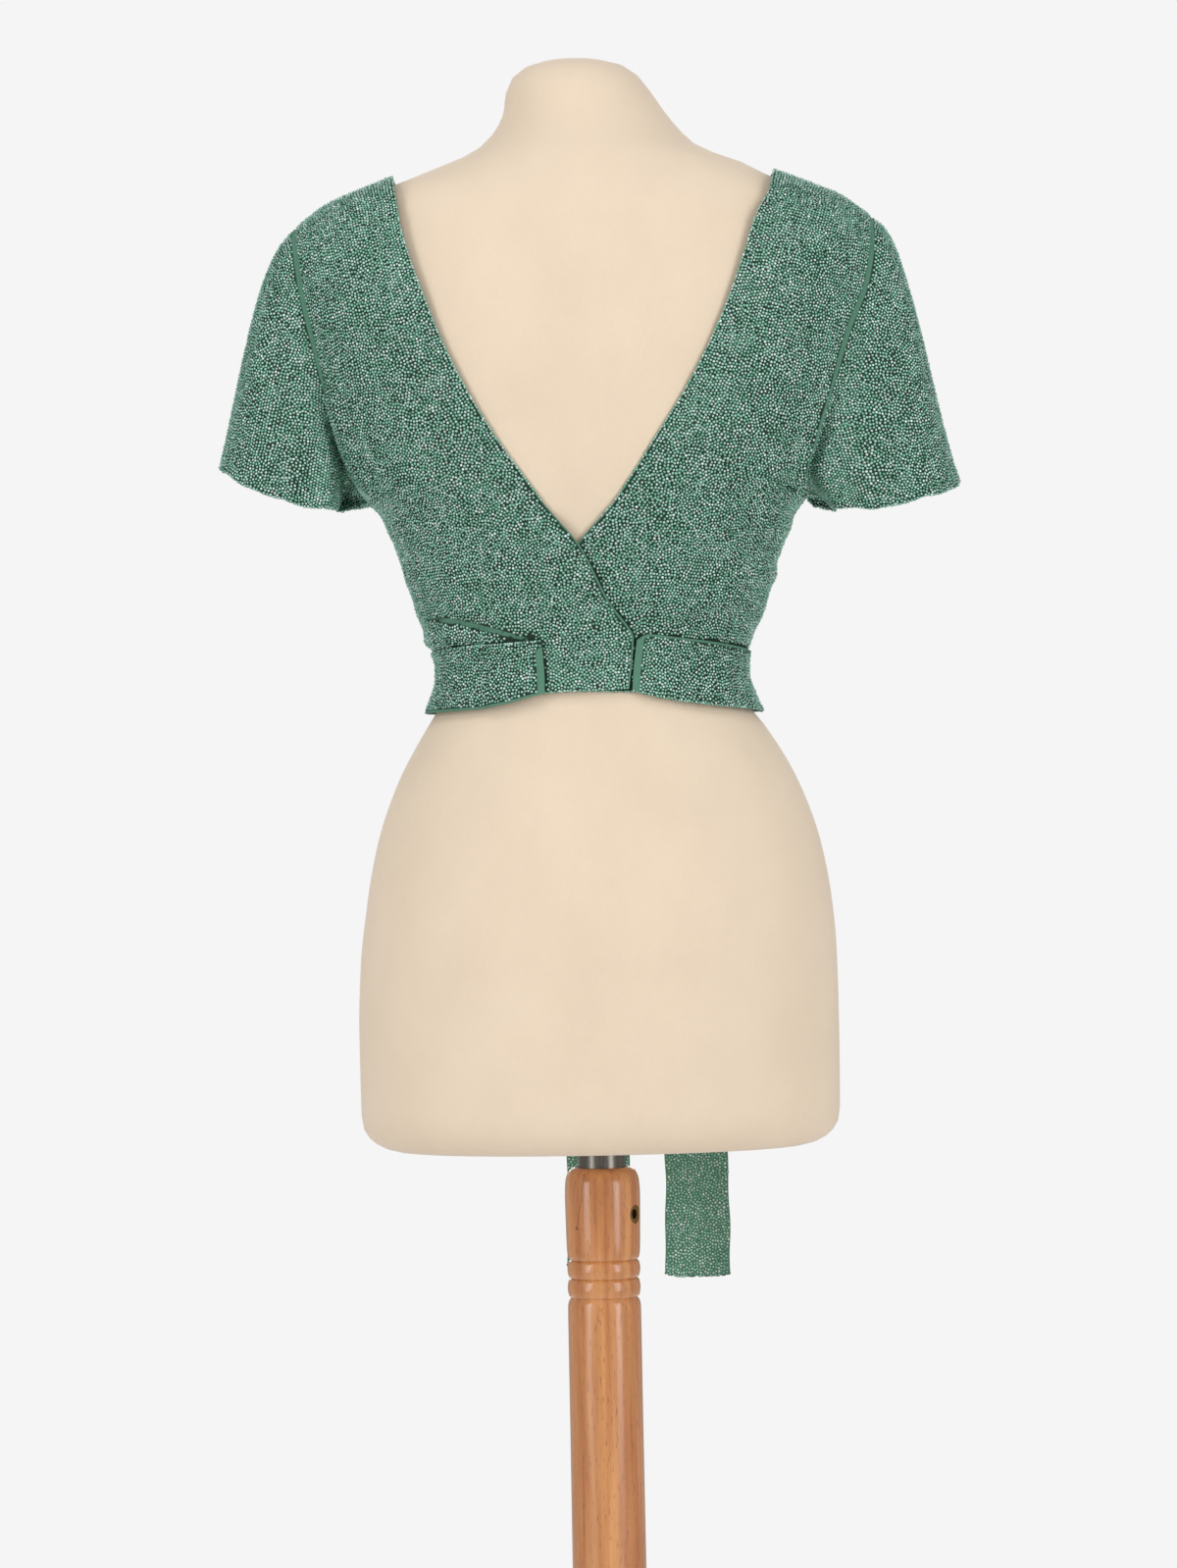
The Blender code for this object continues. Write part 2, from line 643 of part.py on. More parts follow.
def sleeve_middle(cuff, loop):
    """The middle of the sleeve's wall, ring by ring from the armhole to the cuff."""
    _, _, middle, normals, away, _ = loop
    count = len(middle)
    steps = np.linalg.norm(np.roll(middle, -1, 0) - middle, axis=1)
    run = np.concatenate(([0.0], np.cumsum(steps)))
    half, whole = run[count // 2], run[-1]
    rings = []
    for ring in range(SLEEVE_RINGS + 1):
        s = ring / SLEEVE_RINGS
        points = []
        for i in range(count):
            if i <= count // 2:
                turn = math.pi * run[i] / half
            else:
                turn = math.pi * (1 + (run[i] - half) / (whole - half))
            end = cuff_point(cuff, turn)
            top = ((1 + math.cos(turn)) / 2) ** 1.5
            reach = UNDERARM_REACH + (CAP_REACH - UNDERARM_REACH) * top
            leave = away[i] + normals[i] * CAP_PUFF
            leave *= reach / np.linalg.norm(leave)
            drop = end - middle[i]
            leave[1] += (0.3 * drop[1] - leave[1]) * top
            leave[2] *= 1 - UNDERARM_LEVEL * ((1 - math.cos(turn)) / 2) ** 4
            arrive = np.array((cuff.side * cuff.lean * MM * top, 0.0, 0.0)) + drop * (1 - 0.1 * top)
            arrive[0] -= drop[0] * 0.8 * top
            start = middle[i] + away[i] * SEAM_GAP
            point = (2 * s**3 - 3 * s**2 + 1) * start + (3 * s**2 - 2 * s**3) * end
            point += (s**3 - 2 * s**2 + s) * leave + (s**3 - s**2) * arrive
            outwards = point - (middle.mean(0) * (1 - s) + cuff_centre(cuff) * s)
            outwards[2] = 0.0
            outwards /= max(np.linalg.norm(outwards), 1e-9)
            points.append(point + outwards * sleeve_fold(cuff.side, turn, s))
        rings.append(points)
    return np.array(rings)


def cuff_centre(cuff):
    return (cuff_point(cuff, 0.0) + cuff_point(cuff, math.pi)) / 2


def sleeve(name, cuff):
    loop = armhole_loop(cuff.side)
    low, high, _, _, away, _ = loop
    rings = sleeve_middle(cuff, loop)
    down = np.gradient(rings, axis=0)
    round_it = np.roll(rings, -1, 1) - np.roll(rings, 1, 1)
    normals = np.cross(round_it, down)
    normals /= np.linalg.norm(normals, axis=2)[:, :, None]
    if normals[SLEEVE_RINGS // 2, 0][0] * cuff.side < 0:
        normals = -normals
    inner = rings - normals * CLOTH_WALL / 2
    outer = rings + normals * CLOTH_WALL / 2
    inner[0] = low + away * SEAM_GAP
    outer[0] = high + away * SEAM_GAP
    count = rings.shape[1]
    faces = grid_faces(SLEEVE_RINGS, count, lambda r, c: r * count + c % count)
    return closed_wall(
        name, inner.reshape(-1, 3), outer.reshape(-1, 3), faces, "beaded_cloth"
    )


def tie_band(name, table, lift):
    """A tie laid over the panels from the back round to the knot."""
    rows = len(table) - 1
    angle = Smooth(range(rows + 1), [row.angle for row in table])
    top = Smooth(range(rows + 1), [row.top for row in table])
    bottom = Smooth(range(rows + 1), [row.bottom for row in table])
    lean = Smooth(range(rows + 1), [row.lean for row in table])
    rise = Smooth(range(rows + 1), [row.rise for row in table])
    inner, outer = [], []
    for step in range(TIE_STEPS + 1):
        place = rows * step / TIE_STEPS
        for c in range(TIE_COLUMNS + 1):
            share = c / TIE_COLUMNS
            turn = math.radians(angle(place) - lean(place) * (1 - share))
            z = (bottom(place) + (top(place) - bottom(place)) * share) * MM
            base = body_point(turn, z, True)
            offset = CLOTH_WALL + LAYER_GAP + lift(base[0], z, math.cos(turn) > 0)
            offset += rise(place) * MM
            inner.append(layered(turn, z, offset))
            outer.append(layered(turn, z, offset + TIE_WALL))
    width = TIE_COLUMNS + 1
    faces = grid_faces(TIE_STEPS, TIE_COLUMNS, lambda r, c: r * width + c)
    return closed_wall(name, inner, outer, faces, "beaded_cloth")


def form_front(x, z):
    """The y of the form's front at x and z, without the bust."""
    half_width, _, front, side, squareness, shift = section_sizes(z, False)
    share = min(abs(x - shift) / half_width, 0.98)
    return side + (front - side) * (1 - share**squareness) ** (1 / squareness)


def hanging_end(name, table):
    """A tie's free end, which lies on the form's front and hangs straight below its belly."""
    shape = columns(table, MM)
    top, foot = table[0].z * MM, table[-1].z * MM
    inner, outer = [], []
    for step in range(END_STEPS + 1):
        z = top + (foot - top) * step / END_STEPS
        for c in range(END_COLUMNS + 1):
            x = shape["middle"](z) + shape["half_width"](z) * (2 * c / END_COLUMNS - 1)
            y = form_front(x, max(z, BELLY_HEIGHT)) + shape["lift"](z)
            y += (knot_middle() - TIE_WALL / 2 - y) * smoothstep((z - END_FREE) / (top - END_FREE))
            inner.append(np.array((x, y, z)))
            outer.append(np.array((x, y + TIE_WALL, z)))
    width = END_COLUMNS + 1
    faces = grid_faces(END_STEPS, END_COLUMNS, lambda r, c: r * width + c)
    return closed_wall(name, inner, outer, faces, "beaded_cloth")


def lofted(name, rings, top, bottom, finish):
    """A solid through rings with as many points each, closed by a point at either end."""
    count = len(rings[0])
    points = [tuple(p) for ring in rings for p in ring] + [tuple(bottom), tuple(top)]
    faces = grid_faces(len(rings) - 1, count, lambda r, c: r * count + c % count)
    last = (len(rings) - 1) * count
    foot, head = len(points) - 2, len(points) - 1
    faces += [(foot, (c + 1) % count, c) for c in range(count)]
    faces += [(head, last + c, last + (c + 1) % count) for c in range(count)]
    mesh = bpy.data.meshes.new(name)
    mesh.from_pydata(points, [], faces)
    return finished(name, mesh, finish)


def knot_middle():
    """The y of the knot's middle, whose back lies on the front's cloth."""
    near_x = KNOT_X - KNOT_HALF_WIDTH
    heights = (KNOT_Z + KNOT_HALF_HEIGHT, KNOT_Z - KNOT_HALF_HEIGHT)
    back_y = max(body_point(angle_at(near_x, z, True), z, True)[1] for z in heights)
    return back_y + CLOTH_WALL + LAYER_GAP + KNOT_HALF_DEPTH


def knot():
    """The half knot: a pad as thick as its folds, with the crossing band raised across it."""
    middle_y = knot_middle()
    rings = []
    for ring in range(KNOT_RINGS + 1):
        height = -1 + 2 * ring / KNOT_RINGS
        size = (1 - 0.9 * abs(height) ** 5) ** 0.5
        points = []
        for i in range(KNOT_SIDES):
            turn = 2 * math.pi * i / KNOT_SIDES
            across, out = math.cos(turn), math.sin(turn)
            band = bell(height - 0.35 * across, 0.42) if out > 0 else 0.0
            x = KNOT_X + KNOT_HALF_WIDTH * size * math.copysign(abs(across) ** 0.8, across)
            depth = KNOT_HALF_DEPTH * size * math.copysign(abs(out) ** 0.75, out)
            y = middle_y + depth + 2.5 * MM * band * max(out, 0.0)
            points.append((x, y, KNOT_Z + KNOT_HALF_HEIGHT * height))
        rings.append(points)
    foot = (KNOT_X, middle_y, KNOT_Z - KNOT_HALF_HEIGHT)
    head = (KNOT_X, middle_y, KNOT_Z + KNOT_HALF_HEIGHT)
    return lofted("tie_knot", rings, head, foot, "beaded_cloth")


def torso():
    """The moulded form, with a socket in its underside for the mast."""
    turns = [2 * math.pi * i / BODY_SIDES for i in range(BODY_SIDES)]
    socket = MAST_RADIUS + MAST_CLEARANCE
    ceiling = TORSO_BOTTOM + SOCKET_DEPTH
    rings = [
        [(socket * math.sin(t), -socket * math.cos(t), z) for t in turns]
        for z in (ceiling, TORSO_BOTTOM)
    ]
    for place in torso_heights():
        rings.append([body_point(t, place, False) for t in turns])
    top = (TORSO_TOP_SHIFT, TORSO_TOP_Y, TORSO_TOP)
    return lofted("form_torso", rings, top, (0.0, 0.0, ceiling), "form_jersey")


def torso_heights():
    """The sections' own heights, with one more between those that lie far apart."""
    heights = [row.z * MM for row in TORSO_SECTIONS]
    wide = 30.0 * MM
    found = []
    for low, high in zip(heights, heights[1:], strict=False):
        found.append(low)
        if high - low > wide:
            found.append((low + high) / 2)
    return found + [heights[-1]]


def turned(name, profile, finish):
    """A solid of revolution about the Z axis, from a profile that runs down its outside."""
    mesh = bpy.data.meshes.new(name)
    points = [(turn.radius * MM, 0.0, turn.z * MM) for turn in profile]
    mesh.from_pydata(points, [(i, i + 1) for i in range(len(points) - 1)], [])
    mesh.materials.append(material(finish))
    obj = bpy.data.objects.new(name, mesh)
    bpy.context.scene.collection.objects.link(obj)
    screw = obj.modifiers.new("turning", "SCREW")
    screw.steps = TURNED_SIDES
    screw.render_steps = TURNED_SIDES
    screw.use_merge_vertices = True
    screw.merge_threshold = 0.00005
    screw.use_smooth_shade = True
    return obj


def cylinder(name, radius, start, end, sides, finish=None):
    """A bar along the set screw's axis, from start to end out from the pole's centre line."""
    mesh = bpy.data.meshes.new(name)
    work = bmesh.new()
    bmesh.ops.create_cone(
        work, cap_ends=True, segments=sides, radius1=radius, radius2=radius, depth=end - start
    )
    bmesh.ops.translate(work, verts=work.verts, vec=(0, 0, (start + end) / 2))
    work.to_mesh(mesh)
    work.free()
    obj = bpy.data.objects.new(name, mesh)
    obj.location = (0.0, 0.0, INSERT_HEIGHT)
    obj.rotation_euler = (math.pi / 2, 0.0, INSERT_TURN)
    bpy.context.scene.collection.objects.link(obj)
    if finish:
        mesh.materials.append(material(finish))
    else:
        obj.hide_render = True
        obj.display_type = "WIRE"
    return obj


def cut(obj, cutter):
    modifier = obj.modifiers.new(cutter.name, "BOOLEAN")
    modifier.operation = "DIFFERENCE"
    modifier.object = cutter


def stand():
    """Base, pole with its blind bore, mast, and the threaded insert with its set screw."""
    turned("stand_base", BASE_PROFILE, "beech")
    closed = [Turn(0.0, POLE_BORE_FLOOR / MM), *POLE_PROFILE, Turn(0.0, POLE_PROFILE[-1].z)]
    pole = turned("stand_pole", closed, "beech")
    hole_radius = INSERT_RADIUS + SEAM_GAP
    cut(pole, cylinder("insert_hole", hole_radius, 10 * MM, 40 * MM, 24))
    insert = cylinder("stand_insert", INSERT_RADIUS, INSERT_TIP, INSERT_HEAD, 24, "brass")
    cut(insert, cylinder("insert_bore", INSERT_BORE, 10 * MM, 40 * MM, 16))
    screw = cylinder("stand_set_screw", SCREW_RADIUS, SCREW_TIP, SCREW_HEAD, 16, "steel")
    cut(screw, cylinder("screw_socket", SCREW_SOCKET, SCREW_HEAD - 2.5 * MM, 40 * MM, 6))
    mast = [
        Turn(0.0, MAST_HEAD / MM),
        Turn(MAST_RADIUS / MM, MAST_HEAD / MM),
        Turn(MAST_RADIUS / MM, MAST_FOOT / MM),
        Turn(0.0, MAST_FOOT / MM),
    ]
    turned("stand_mast", mast, "steel")


def garment():
    back_panel("back_left", "left", -1, wrap_lift)
    back_panel("back_right", "right", 1, lambda x, z: 0.0)
    front_panel()
    for cuff, name in zip(CUFFS, ("sleeve_left", "sleeve_right"), strict=True):
        sleeve(name, cuff)
    tie_band("tie_left", TIE_LEFT, lambda x, z, behind: wrap_lift(x, z) if behind else 0.0)
    tie_band("tie_right", TIE_RIGHT, lambda x, z, behind: 0.0)
    knot()
    hanging_end("tie_end_left", END_LEFT)
    hanging_end("tie_end_right", END_RIGHT)


def main():
    clear_scene()
    torso()
    stand()
    garment()


main()
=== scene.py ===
"""Looks of a beaded wrap-back top on its dress form and turned wooden stand.

Metres, +Z up. -Y is the garment's back, which the camera sees. The tables hold the cloth's own cut
and section sizes in millimetres, and MM turns them into metres.
"""

import itertools
import math
from collections import namedtuple

import bmesh
import bpy
import numpy as np
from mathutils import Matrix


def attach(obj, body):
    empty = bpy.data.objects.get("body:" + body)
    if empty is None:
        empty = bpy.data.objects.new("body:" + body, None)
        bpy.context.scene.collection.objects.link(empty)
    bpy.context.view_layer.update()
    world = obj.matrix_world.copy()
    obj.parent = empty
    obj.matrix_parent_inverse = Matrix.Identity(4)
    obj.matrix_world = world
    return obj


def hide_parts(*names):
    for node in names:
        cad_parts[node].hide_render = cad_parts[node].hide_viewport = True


MM = 0.001
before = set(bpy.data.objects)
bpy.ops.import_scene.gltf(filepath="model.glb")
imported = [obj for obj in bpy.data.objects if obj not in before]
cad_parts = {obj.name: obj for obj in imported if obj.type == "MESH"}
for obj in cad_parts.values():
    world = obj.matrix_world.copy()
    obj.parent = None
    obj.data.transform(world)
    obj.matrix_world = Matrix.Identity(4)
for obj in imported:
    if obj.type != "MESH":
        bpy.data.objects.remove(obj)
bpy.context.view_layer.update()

# The photograph's camera: level, a little rolled, straight behind the garment
CAMERA_PLACE = (-0.0043, -3.4, 1.056)
CAMERA_ROLL = math.radians(1.1)
LENS = 109.5
FILM_HEIGHT = 36.0
CLIP_END = 50.0

# The studio: each soft box's place, width, height and power, all aimed at one point of the figure
LIGHT_AIM = (0.0, 0.0, 1.15)
SOFT_BOXES = {
    "left_box": ((-2.8, -2.3, 1.75), 1.0, 3.2, 46.0),
    "right_box": ((2.6, -2.6, 1.65), 1.2, 3.2, 55.0),
    "top_box": ((-0.4, -1.6, 3.5), 1.8, 1.2, 19.0),
    "front_fill": ((0.0, 3.2, 2.2), 2.2, 2.2, 66.0),
}
SURROUNDINGS = 0.38
FLOOR_RADIUS = 2.4
FLOOR_SIDES = 96

# The cloth's thickness without its beads, and how its layers lie on each other
CLOTH_WALL = 1.0 * MM
LEAST_WALL = 0.3 * MM
TIE_WALL = 1.2 * MM
SEAM_GAP = 0.06 * MM
PANEL_LAYER = 2.0 * MM
LAYER_GAP = 1.2 * MM
BODY_EASE = 1.0 * MM
WRAP_LIFT = PANEL_LAYER + 0.9 * MM
WRAP_RAMP = 12.0 * MM
WRAP_MARGIN = 38.0 * MM
WRAP_POINT = 1223.4 * MM
NECK_BEADS = 1236.0 * MM
# The neckline's edge lies on the form. The heights above which it does, behind and in front
HUG = 0.4 * MM
HUG_FROM = (1232.0 * MM, 1386.0 * MM)
HUG_TO = 1474.0 * MM
# It starts at a share of the way across a panel, comes in over one height and goes over another
HUG_SHARE = 0.5
HUG_RISE = 40.0 * MM
HUG_FADE = 12.0 * MM
# How much of a fold the inner skin follows, and the share of its course over which it dies out
INNER_FOLLOWS = 0.8
CREASE_END = 0.2
# A cloth wall keeps edges sharper than this
CLOTH_SHARP = math.radians(50)

# Seed beads: how far apart, how wide and how high, how far from a bare line they stop, and by
# how much their size and lean vary. At each step they settle by a share of their crowding.
BEAD_SPACING = 1.88 * MM
BEAD_CANDIDATES = 7.0e6
BEAD_RADIUS = 1.25 * MM
BEAD_HEIGHT = 0.75 * MM
BEAD_RISE = 0.75 * MM
BEAD_SINK = 0.12 * MM
BEAD_SIDES = 6
BEAD_CLEAR = 1.1 * MM
BEAD_LEAST = 0.86
BEAD_VARIES = 0.26
BEAD_LEAN = 0.16
SETTLE_STEPS = 6
SETTLE_PITCH = 2.45 * MM
SETTLE_SHARE = 0.3
HEM_PITCH = 2.2 * MM
HEM_SCATTER = 0.16
HEM_LEAN = 0.9
FREE_ROOM = 2.2 * MM
# A bead's faces all lie in one cell of its colour chart, within this share of the cell
SHADE_CELLS = 16
SHADE_REACH = 0.42
# The room of beads that no bare line is near
ALL_CLEAR = 1.0
KNOT_SEED = 10
INNER_FACE_SEED = 50

# The turned stand, as radius and height, up from the foot of each piece. The pole's profile ends
# down its bore. Stretches longer than STRAIGHT aren't rounded.
TURNED_SIDES = 96
PROFILE_STEP = 1.2 * MM
STRAIGHT = 60.0 * MM
STAND_SHARP = math.radians(35)
BASE_PROFILE = [
    (184.5, 0), (188.5, 4), (190, 10), (189, 15), (185, 19.5), (176, 22), (110, 26.5),
    (56, 30.5), (47.5, 34.5), (45, 40), (43.5, 43.4), (40, 45),
]
POLE_PROFILE = [
    (27.4, 45.3), (27.4, 90), (27, 250), (26.4, 450), (26.1, 600), (26.1, 678), (26, 684),
    (25.2, 688), (23.7, 690.4), (25, 691.5), (26, 697.2), (25, 702.9), (23.7, 704.1),
    (25, 705.2), (26, 710.6), (25, 715.9), (23.7, 717.1), (25, 718.2), (26, 723.5),
    (26.5, 741), (26.8, 764), (26.3, 773), (24.2, 779.6), (21.5, 782.2), (19, 783),
    (17.4, 783), (17.4, 770), (17.4, 480),
]
MAST_PROFILE = [(16.2, 500), (17, 500.8), (17, 856.2), (16.2, 857)]
INSERT_HEIGHT = 750.0 * MM
INSERT_TURN = math.radians(61)
INSERT_HOLE = 6.7 * MM
INSERT_SIDES = 48
HOLE_LENGTH = 30.0 * MM
HOLE_MIDDLE = 25.0 * MM
# A vein of the wood on the pole's head: its foot as x and z, its slant, head and half width
VEIN_FOOT = (-18.6 * MM, 741.0 * MM)
VEIN_SLANT = 0.155
VEIN_HEAD = 782.0 * MM
VEIN_WIDTH = 0.5 * MM
VEIN_KNOT = 1.2 * MM

Section = namedtuple("Section", "z half_width back front side squareness shift")
TORSO_SECTIONS = [
    Section(798.5, 146.0, -97, 86, -6, 2.25, 0),
    Section(800.5, 154.0, -103, 91, -6, 2.25, 0),
    Section(804.0, 160.5, -107, 95, -6, 2.25, 0),
    Section(808.0, 165.0, -110, 97.5, -6, 2.25, 0),
    Section(814.0, 168.6, -113, 99.5, -6, 2.25, 0),
    Section(824.0, 170.1, -115, 101, -6, 2.25, 0),
    Section(885.0, 170.6, -119, 105, -6, 2.25, 0),
    Section(930.0, 169.4, -119, 108, -6, 2.25, 0.7),
    Section(971.0, 165.5, -115, 110, -5, 2.25, 1.8),
    Section(1013.0, 158.0, -106, 108, -3, 2.2, 2.1),
    Section(1055.0, 143.7, -92, 103, 0, 2.2, 1.9),
    Section(1097.0, 120.2, -78, 95, 2, 2.2, 1.0),
    Section(1108.0, 112.2, -75, 93.5, 3, 2.2, 0),
    Section(1120.0, 108.6, -73, 93, 3, 2.2, 0),
    Section(1131.0, 105.9, -73, 92.5, 3, 2.2, 0),
    Section(1142.0, 105.9, -74, 93, 3, 2.2, 0),
    Section(1155.0, 108.8, -76, 94, 3, 2.2, 0),
    Section(1175.0, 118.2, -80, 96, 2, 2.2, 0),
    Section(1198.0, 126.0, -86, 99, 2, 2.25, 0),
    Section(1220.0, 133.0, -91, 101, 1, 2.3, 0),
    Section(1254.0, 143.5, -98, 104, 0, 2.4, 0),
    Section(1300.0, 152.0, -104, 104, -1, 2.45, 0),
    Section(1350.0, 162.0, -107, 99, -3, 2.45, 0),
    Section(1400.0, 172.0, -105, 88, -5, 2.4, 0),
    Section(1435.0, 175.5, -98, 77, -7, 2.3, 0),
    Section(1457.0, 171.0, -90, 69, -8, 2.2, 0),
    Section(1470.0, 161.0, -84, 65, -8, 2.2, 0),
    Section(1479.0, 146.0, -79, 62, -7, 2.2, 0),
    Section(1486.0, 129.0, -75, 60, -6, 2.2, 2),
    Section(1495.0, 109.9, -70, 59, -3, 2.15, 5),
    Section(1502.0, 91.6, -66, 59, -1, 2.1, 4.2),
    Section(1510.0, 77.2, -60, 60, 2, 2.05, 3.2),
    Section(1519.0, 68.3, -54, 61, 5, 2.0, 3.2),
    Section(1534.5, 58.0, -46, 63, 9, 2.0, 1.5),
    Section(1551.0, 51.2, -40, 61, 11, 2.0, -2.6),
    Section(1561.0, 45.2, -34, 56, 12, 2.0, -4.2),
    Section(1568.0, 36.0, -24, 47, 12, 2.0, -4.8),
    Section(1572.0, 23.0, -11, 35, 12, 2.0, -5.6),
]
TORSO_TOP = (-4.0 * MM, 12.0 * MM, 1573.2 * MM)
SOCKET_RADIUS = 17.3 * MM
SOCKET_DEPTH = 60.0 * MM
TORSO_SIDES = 144
TORSO_STEP = 4.0 * MM
TORSO_SHARP = math.radians(60)

ClothSection = namedtuple("ClothSection", "z half_width ease squareness")
CLOTH_SECTIONS = [
    ClothSection(1095.0, 124.0, 0.0, 2.2),
    ClothSection(1108.0, 115.6, 0.0, 2.2),
    ClothSection(1120.0, 110.7, 0.0, 2.2),
    ClothSection(1131.0, 107.4, 0.0, 2.2),
    ClothSection(1142.0, 107.4, 0.2, 2.2),
    ClothSection(1155.0, 111.8, 0.4, 2.2),
    ClothSection(1175.0, 121.0, 0.8, 2.25),
    ClothSection(1198.0, 128.0, 1.0, 2.3),
    ClothSection(1220.0, 135.0, 1.0, 2.3),
    ClothSection(1243.0, 143.4, 1.2, 2.35),
    ClothSection(1256.0, 151.0, 1.4, 2.35),
    ClothSection(1270.0, 165.0, 1.6, 2.35),
    ClothSection(1285.0, 176.0, 1.7, 2.3),
    ClothSection(1305.0, 185.0, 1.8, 2.3),
    ClothSection(1330.0, 193.0, 2.0, 2.3),
    ClothSection(1365.0, 203.0, 2.0, 2.25),
    ClothSection(1400.0, 211.0, 1.8, 2.25),
    ClothSection(1430.0, 212.0, 1.6, 2.25),
    ClothSection(1446.0, 209.0, 1.6, 2.25),
    ClothSection(1453.5, 203.5, 1.8, 2.25),
    ClothSection(1462.0, 193.0, 2.2, 2.25),
    ClothSection(1469.0, 183.0, 2.4, 2.25),
    ClothSection(1476.5, 166.0, 2.6, 2.25),
    ClothSection(1484.0, 147.0, 2.8, 2.25),
    ClothSection(1488.3, 135.8, 2.8, 2.25),
    ClothSection(1496.0, 112.0, 2.8, 2.2),
]
BUST_SPREAD = 80.0 * MM
BUST_HEIGHT = 1296.0 * MM
BUST_DEPTH = 30.0 * MM
BUST_WIDTH = 47.0 * MM
BUST_RISE = 56.0 * MM
CLOTH_DROP = 84.0 * MM
BRIDGE_DEPTH = 20.0 * MM
BRIDGE_WIDTH = 44.0 * MM

CutRow = namedtuple(
    "CutRow", "z left_seam right_seam front_seam left_x left_z right_x right_z front_x front_z"
)
CUT_ROWS = [
    CutRow(1117, 0, 0, 0, 25, 1122.5, -39, 1122, 0, 1114),
    CutRow(1128, 0, 0, 0, 26, 1131, -39.5, 1132, 0, 1127),
    CutRow(1141, 0, 0, 0, 27.5, 1144, -40, 1146, 0, 1141),
    CutRow(1157, 0, 0, 0, 28.5, 1158, -40, 1161, 0, 1160),
    CutRow(1182, 0, 0, 0, 12, 1184, -27, 1187, 0, 1187),
    CutRow(1210, 0, 0, 0, -8, 1223.4, -8, 1223.4, 0, 1222),
    CutRow(1235, 0, 0, 0, -30.6, 1249.5, 16.3, 1250, 0, 1256),
    CutRow(1257, 149, 149.5, 3, -50.8, 1277, 33.3, 1274, 0, 1290),
    CutRow(1272, 163.5, 150, 12, -65.8, 1299, 48.3, 1297, 0, 1320),
    CutRow(1297, 174, 159, 17, -84.6, 1331, 66.8, 1325, 0, 1350),
    CutRow(1330, 182, 170.6, 17.5, -101.8, 1367, 87.4, 1363, 0, 1382),
    CutRow(1370, 191, 182.8, 17, -113.4, 1398, 101, 1394, 54, 1391),
    CutRow(1406, 198.5, 197, 14.5, -122.5, 1425, 111.8, 1424, 94, 1416),
    CutRow(1432, 202, 201.5, 9, -129.6, 1452, 121.2, 1452, 116.5, 1449),
    CutRow(1445, 204, 202, 5, -132.4, 1472, 130.6, 1470, 128, 1472),
    CutRow(1451, 204.3, 203, 2.5, -134.0, 1482, 133.6, 1481, 133.2, 1482),
    CutRow(1453.2, 203.6, 203.2, 1, -134.8, 1486.8, 134.8, 1486.6, 134.8, 1486.8),
    CutRow(1453.9, 203.5, 203.1, 0, -135.2, 1488.3, 135.2, 1488.3, 135.2, 1488.3),
]
UNDERARM_ROW = 7
NECKLINE_ROW = 10
SHOULDER_ROW = len(CUT_ROWS) - 1
PANEL_ROW_STEPS = [(0, 7, 8), (7, 14, 9), (14, 17, 6)]
PANEL_COLUMNS = 44
FRONT_COLUMNS = 36

Cuff = namedtuple("Cuff", "side outer_x outer_z inner_x inner_z sag half_depth lean")
CUFFS = [
    Cuff(-1, 262.5, 1283, 163, 1253.0, 9.5, 50, 37),
    Cuff(1, 264.0, 1262.5, 159, 1247.5, 7.5, 50, 54),
]
CUFF_Y = -5.0 * MM
CUFF_FRONT_RISE = 11.0 * MM
CAP_REACH = 112.0 * MM
UNDERARM_REACH = 13.0 * MM
UNDERARM_LEVEL = 0.7
CAP_PUFF = 0.18
SLEEVE_RINGS = 44
FOLD_SIDEWAYS = 0.25
HEM_WAVE = 0.7 * MM
# Two waves run round a cuff's hem: how often, and the second one's share of the first
HEM_WAVES = (6, 13)
SECOND_WAVE = 0.6
# How a sleeve leaves its armhole and reaches its cuff: powers that say how narrow its top and
# underarm are, and shares of the way between the two
CAP_POWER = 1.5
CAP_FORWARD = 0.3
UNDERARM_POWER = 4
CUFF_SLACK = 0.1
CUFF_UPRIGHT = 0.8
# Turn of a fold's middle and its half width in degrees, depth, and the shares of the sleeve's
# length where it starts, is deepest and has died out
Fold = namedtuple("Fold", "side middle half_width depth start deepest finish")
SLEEVE_FOLDS = [
    Fold(-1, 106, 9, -3.0, 0.25, 0.9, 3.0),
    Fold(-1, 123, 9, 4.0, 0.2, 0.9, 3.0),
    Fold(-1, 152, 15, -27.0, 0.0, 0.5, 3.0),
    Fold(-1, 132, 20, -6.0, 0.0, 0.12, 0.4),
    Fold(-1, 60, 18, -1.6, 0.1, 0.6, 1.1),
    Fold(-1, 12, 30, 1.6, 0.0, 0.1, 0.6),
    Fold(1, 118, 12, -3.0, 0.25, 1.0, 3.0),
    Fold(1, 136, 10, 3.0, 0.2, 1.0, 3.0),
    Fold(1, 156, 15, -27.0, -0.05, 0.35, 3.0),
    Fold(1, 130, 26, -8.0, 0.0, 0.1, 0.4),
    Fold(1, 70, 20, -1.8, 0.1, 0.6, 1.1),
    Fold(1, 8, 24, 3.0, 0.0, 0.07, 0.4),
    Fold(-1, 228, 22, -5.0, 0.15, 1.0, 3.0),
    Fold(-1, 255, 18, 2.2, 0.15, 0.9, 3.0),
    Fold(-1, 202, 14, 3.0, 0.02, 0.25, 1.2),
    Fold(1, 222, 22, -5.0, 0.15, 1.0, 3.0),
    Fold(1, 250, 20, 2.4, 0.1, 0.9, 3.0),
    Fold(1, 200, 15, 3.2, 0.02, 0.25, 1.2),
]

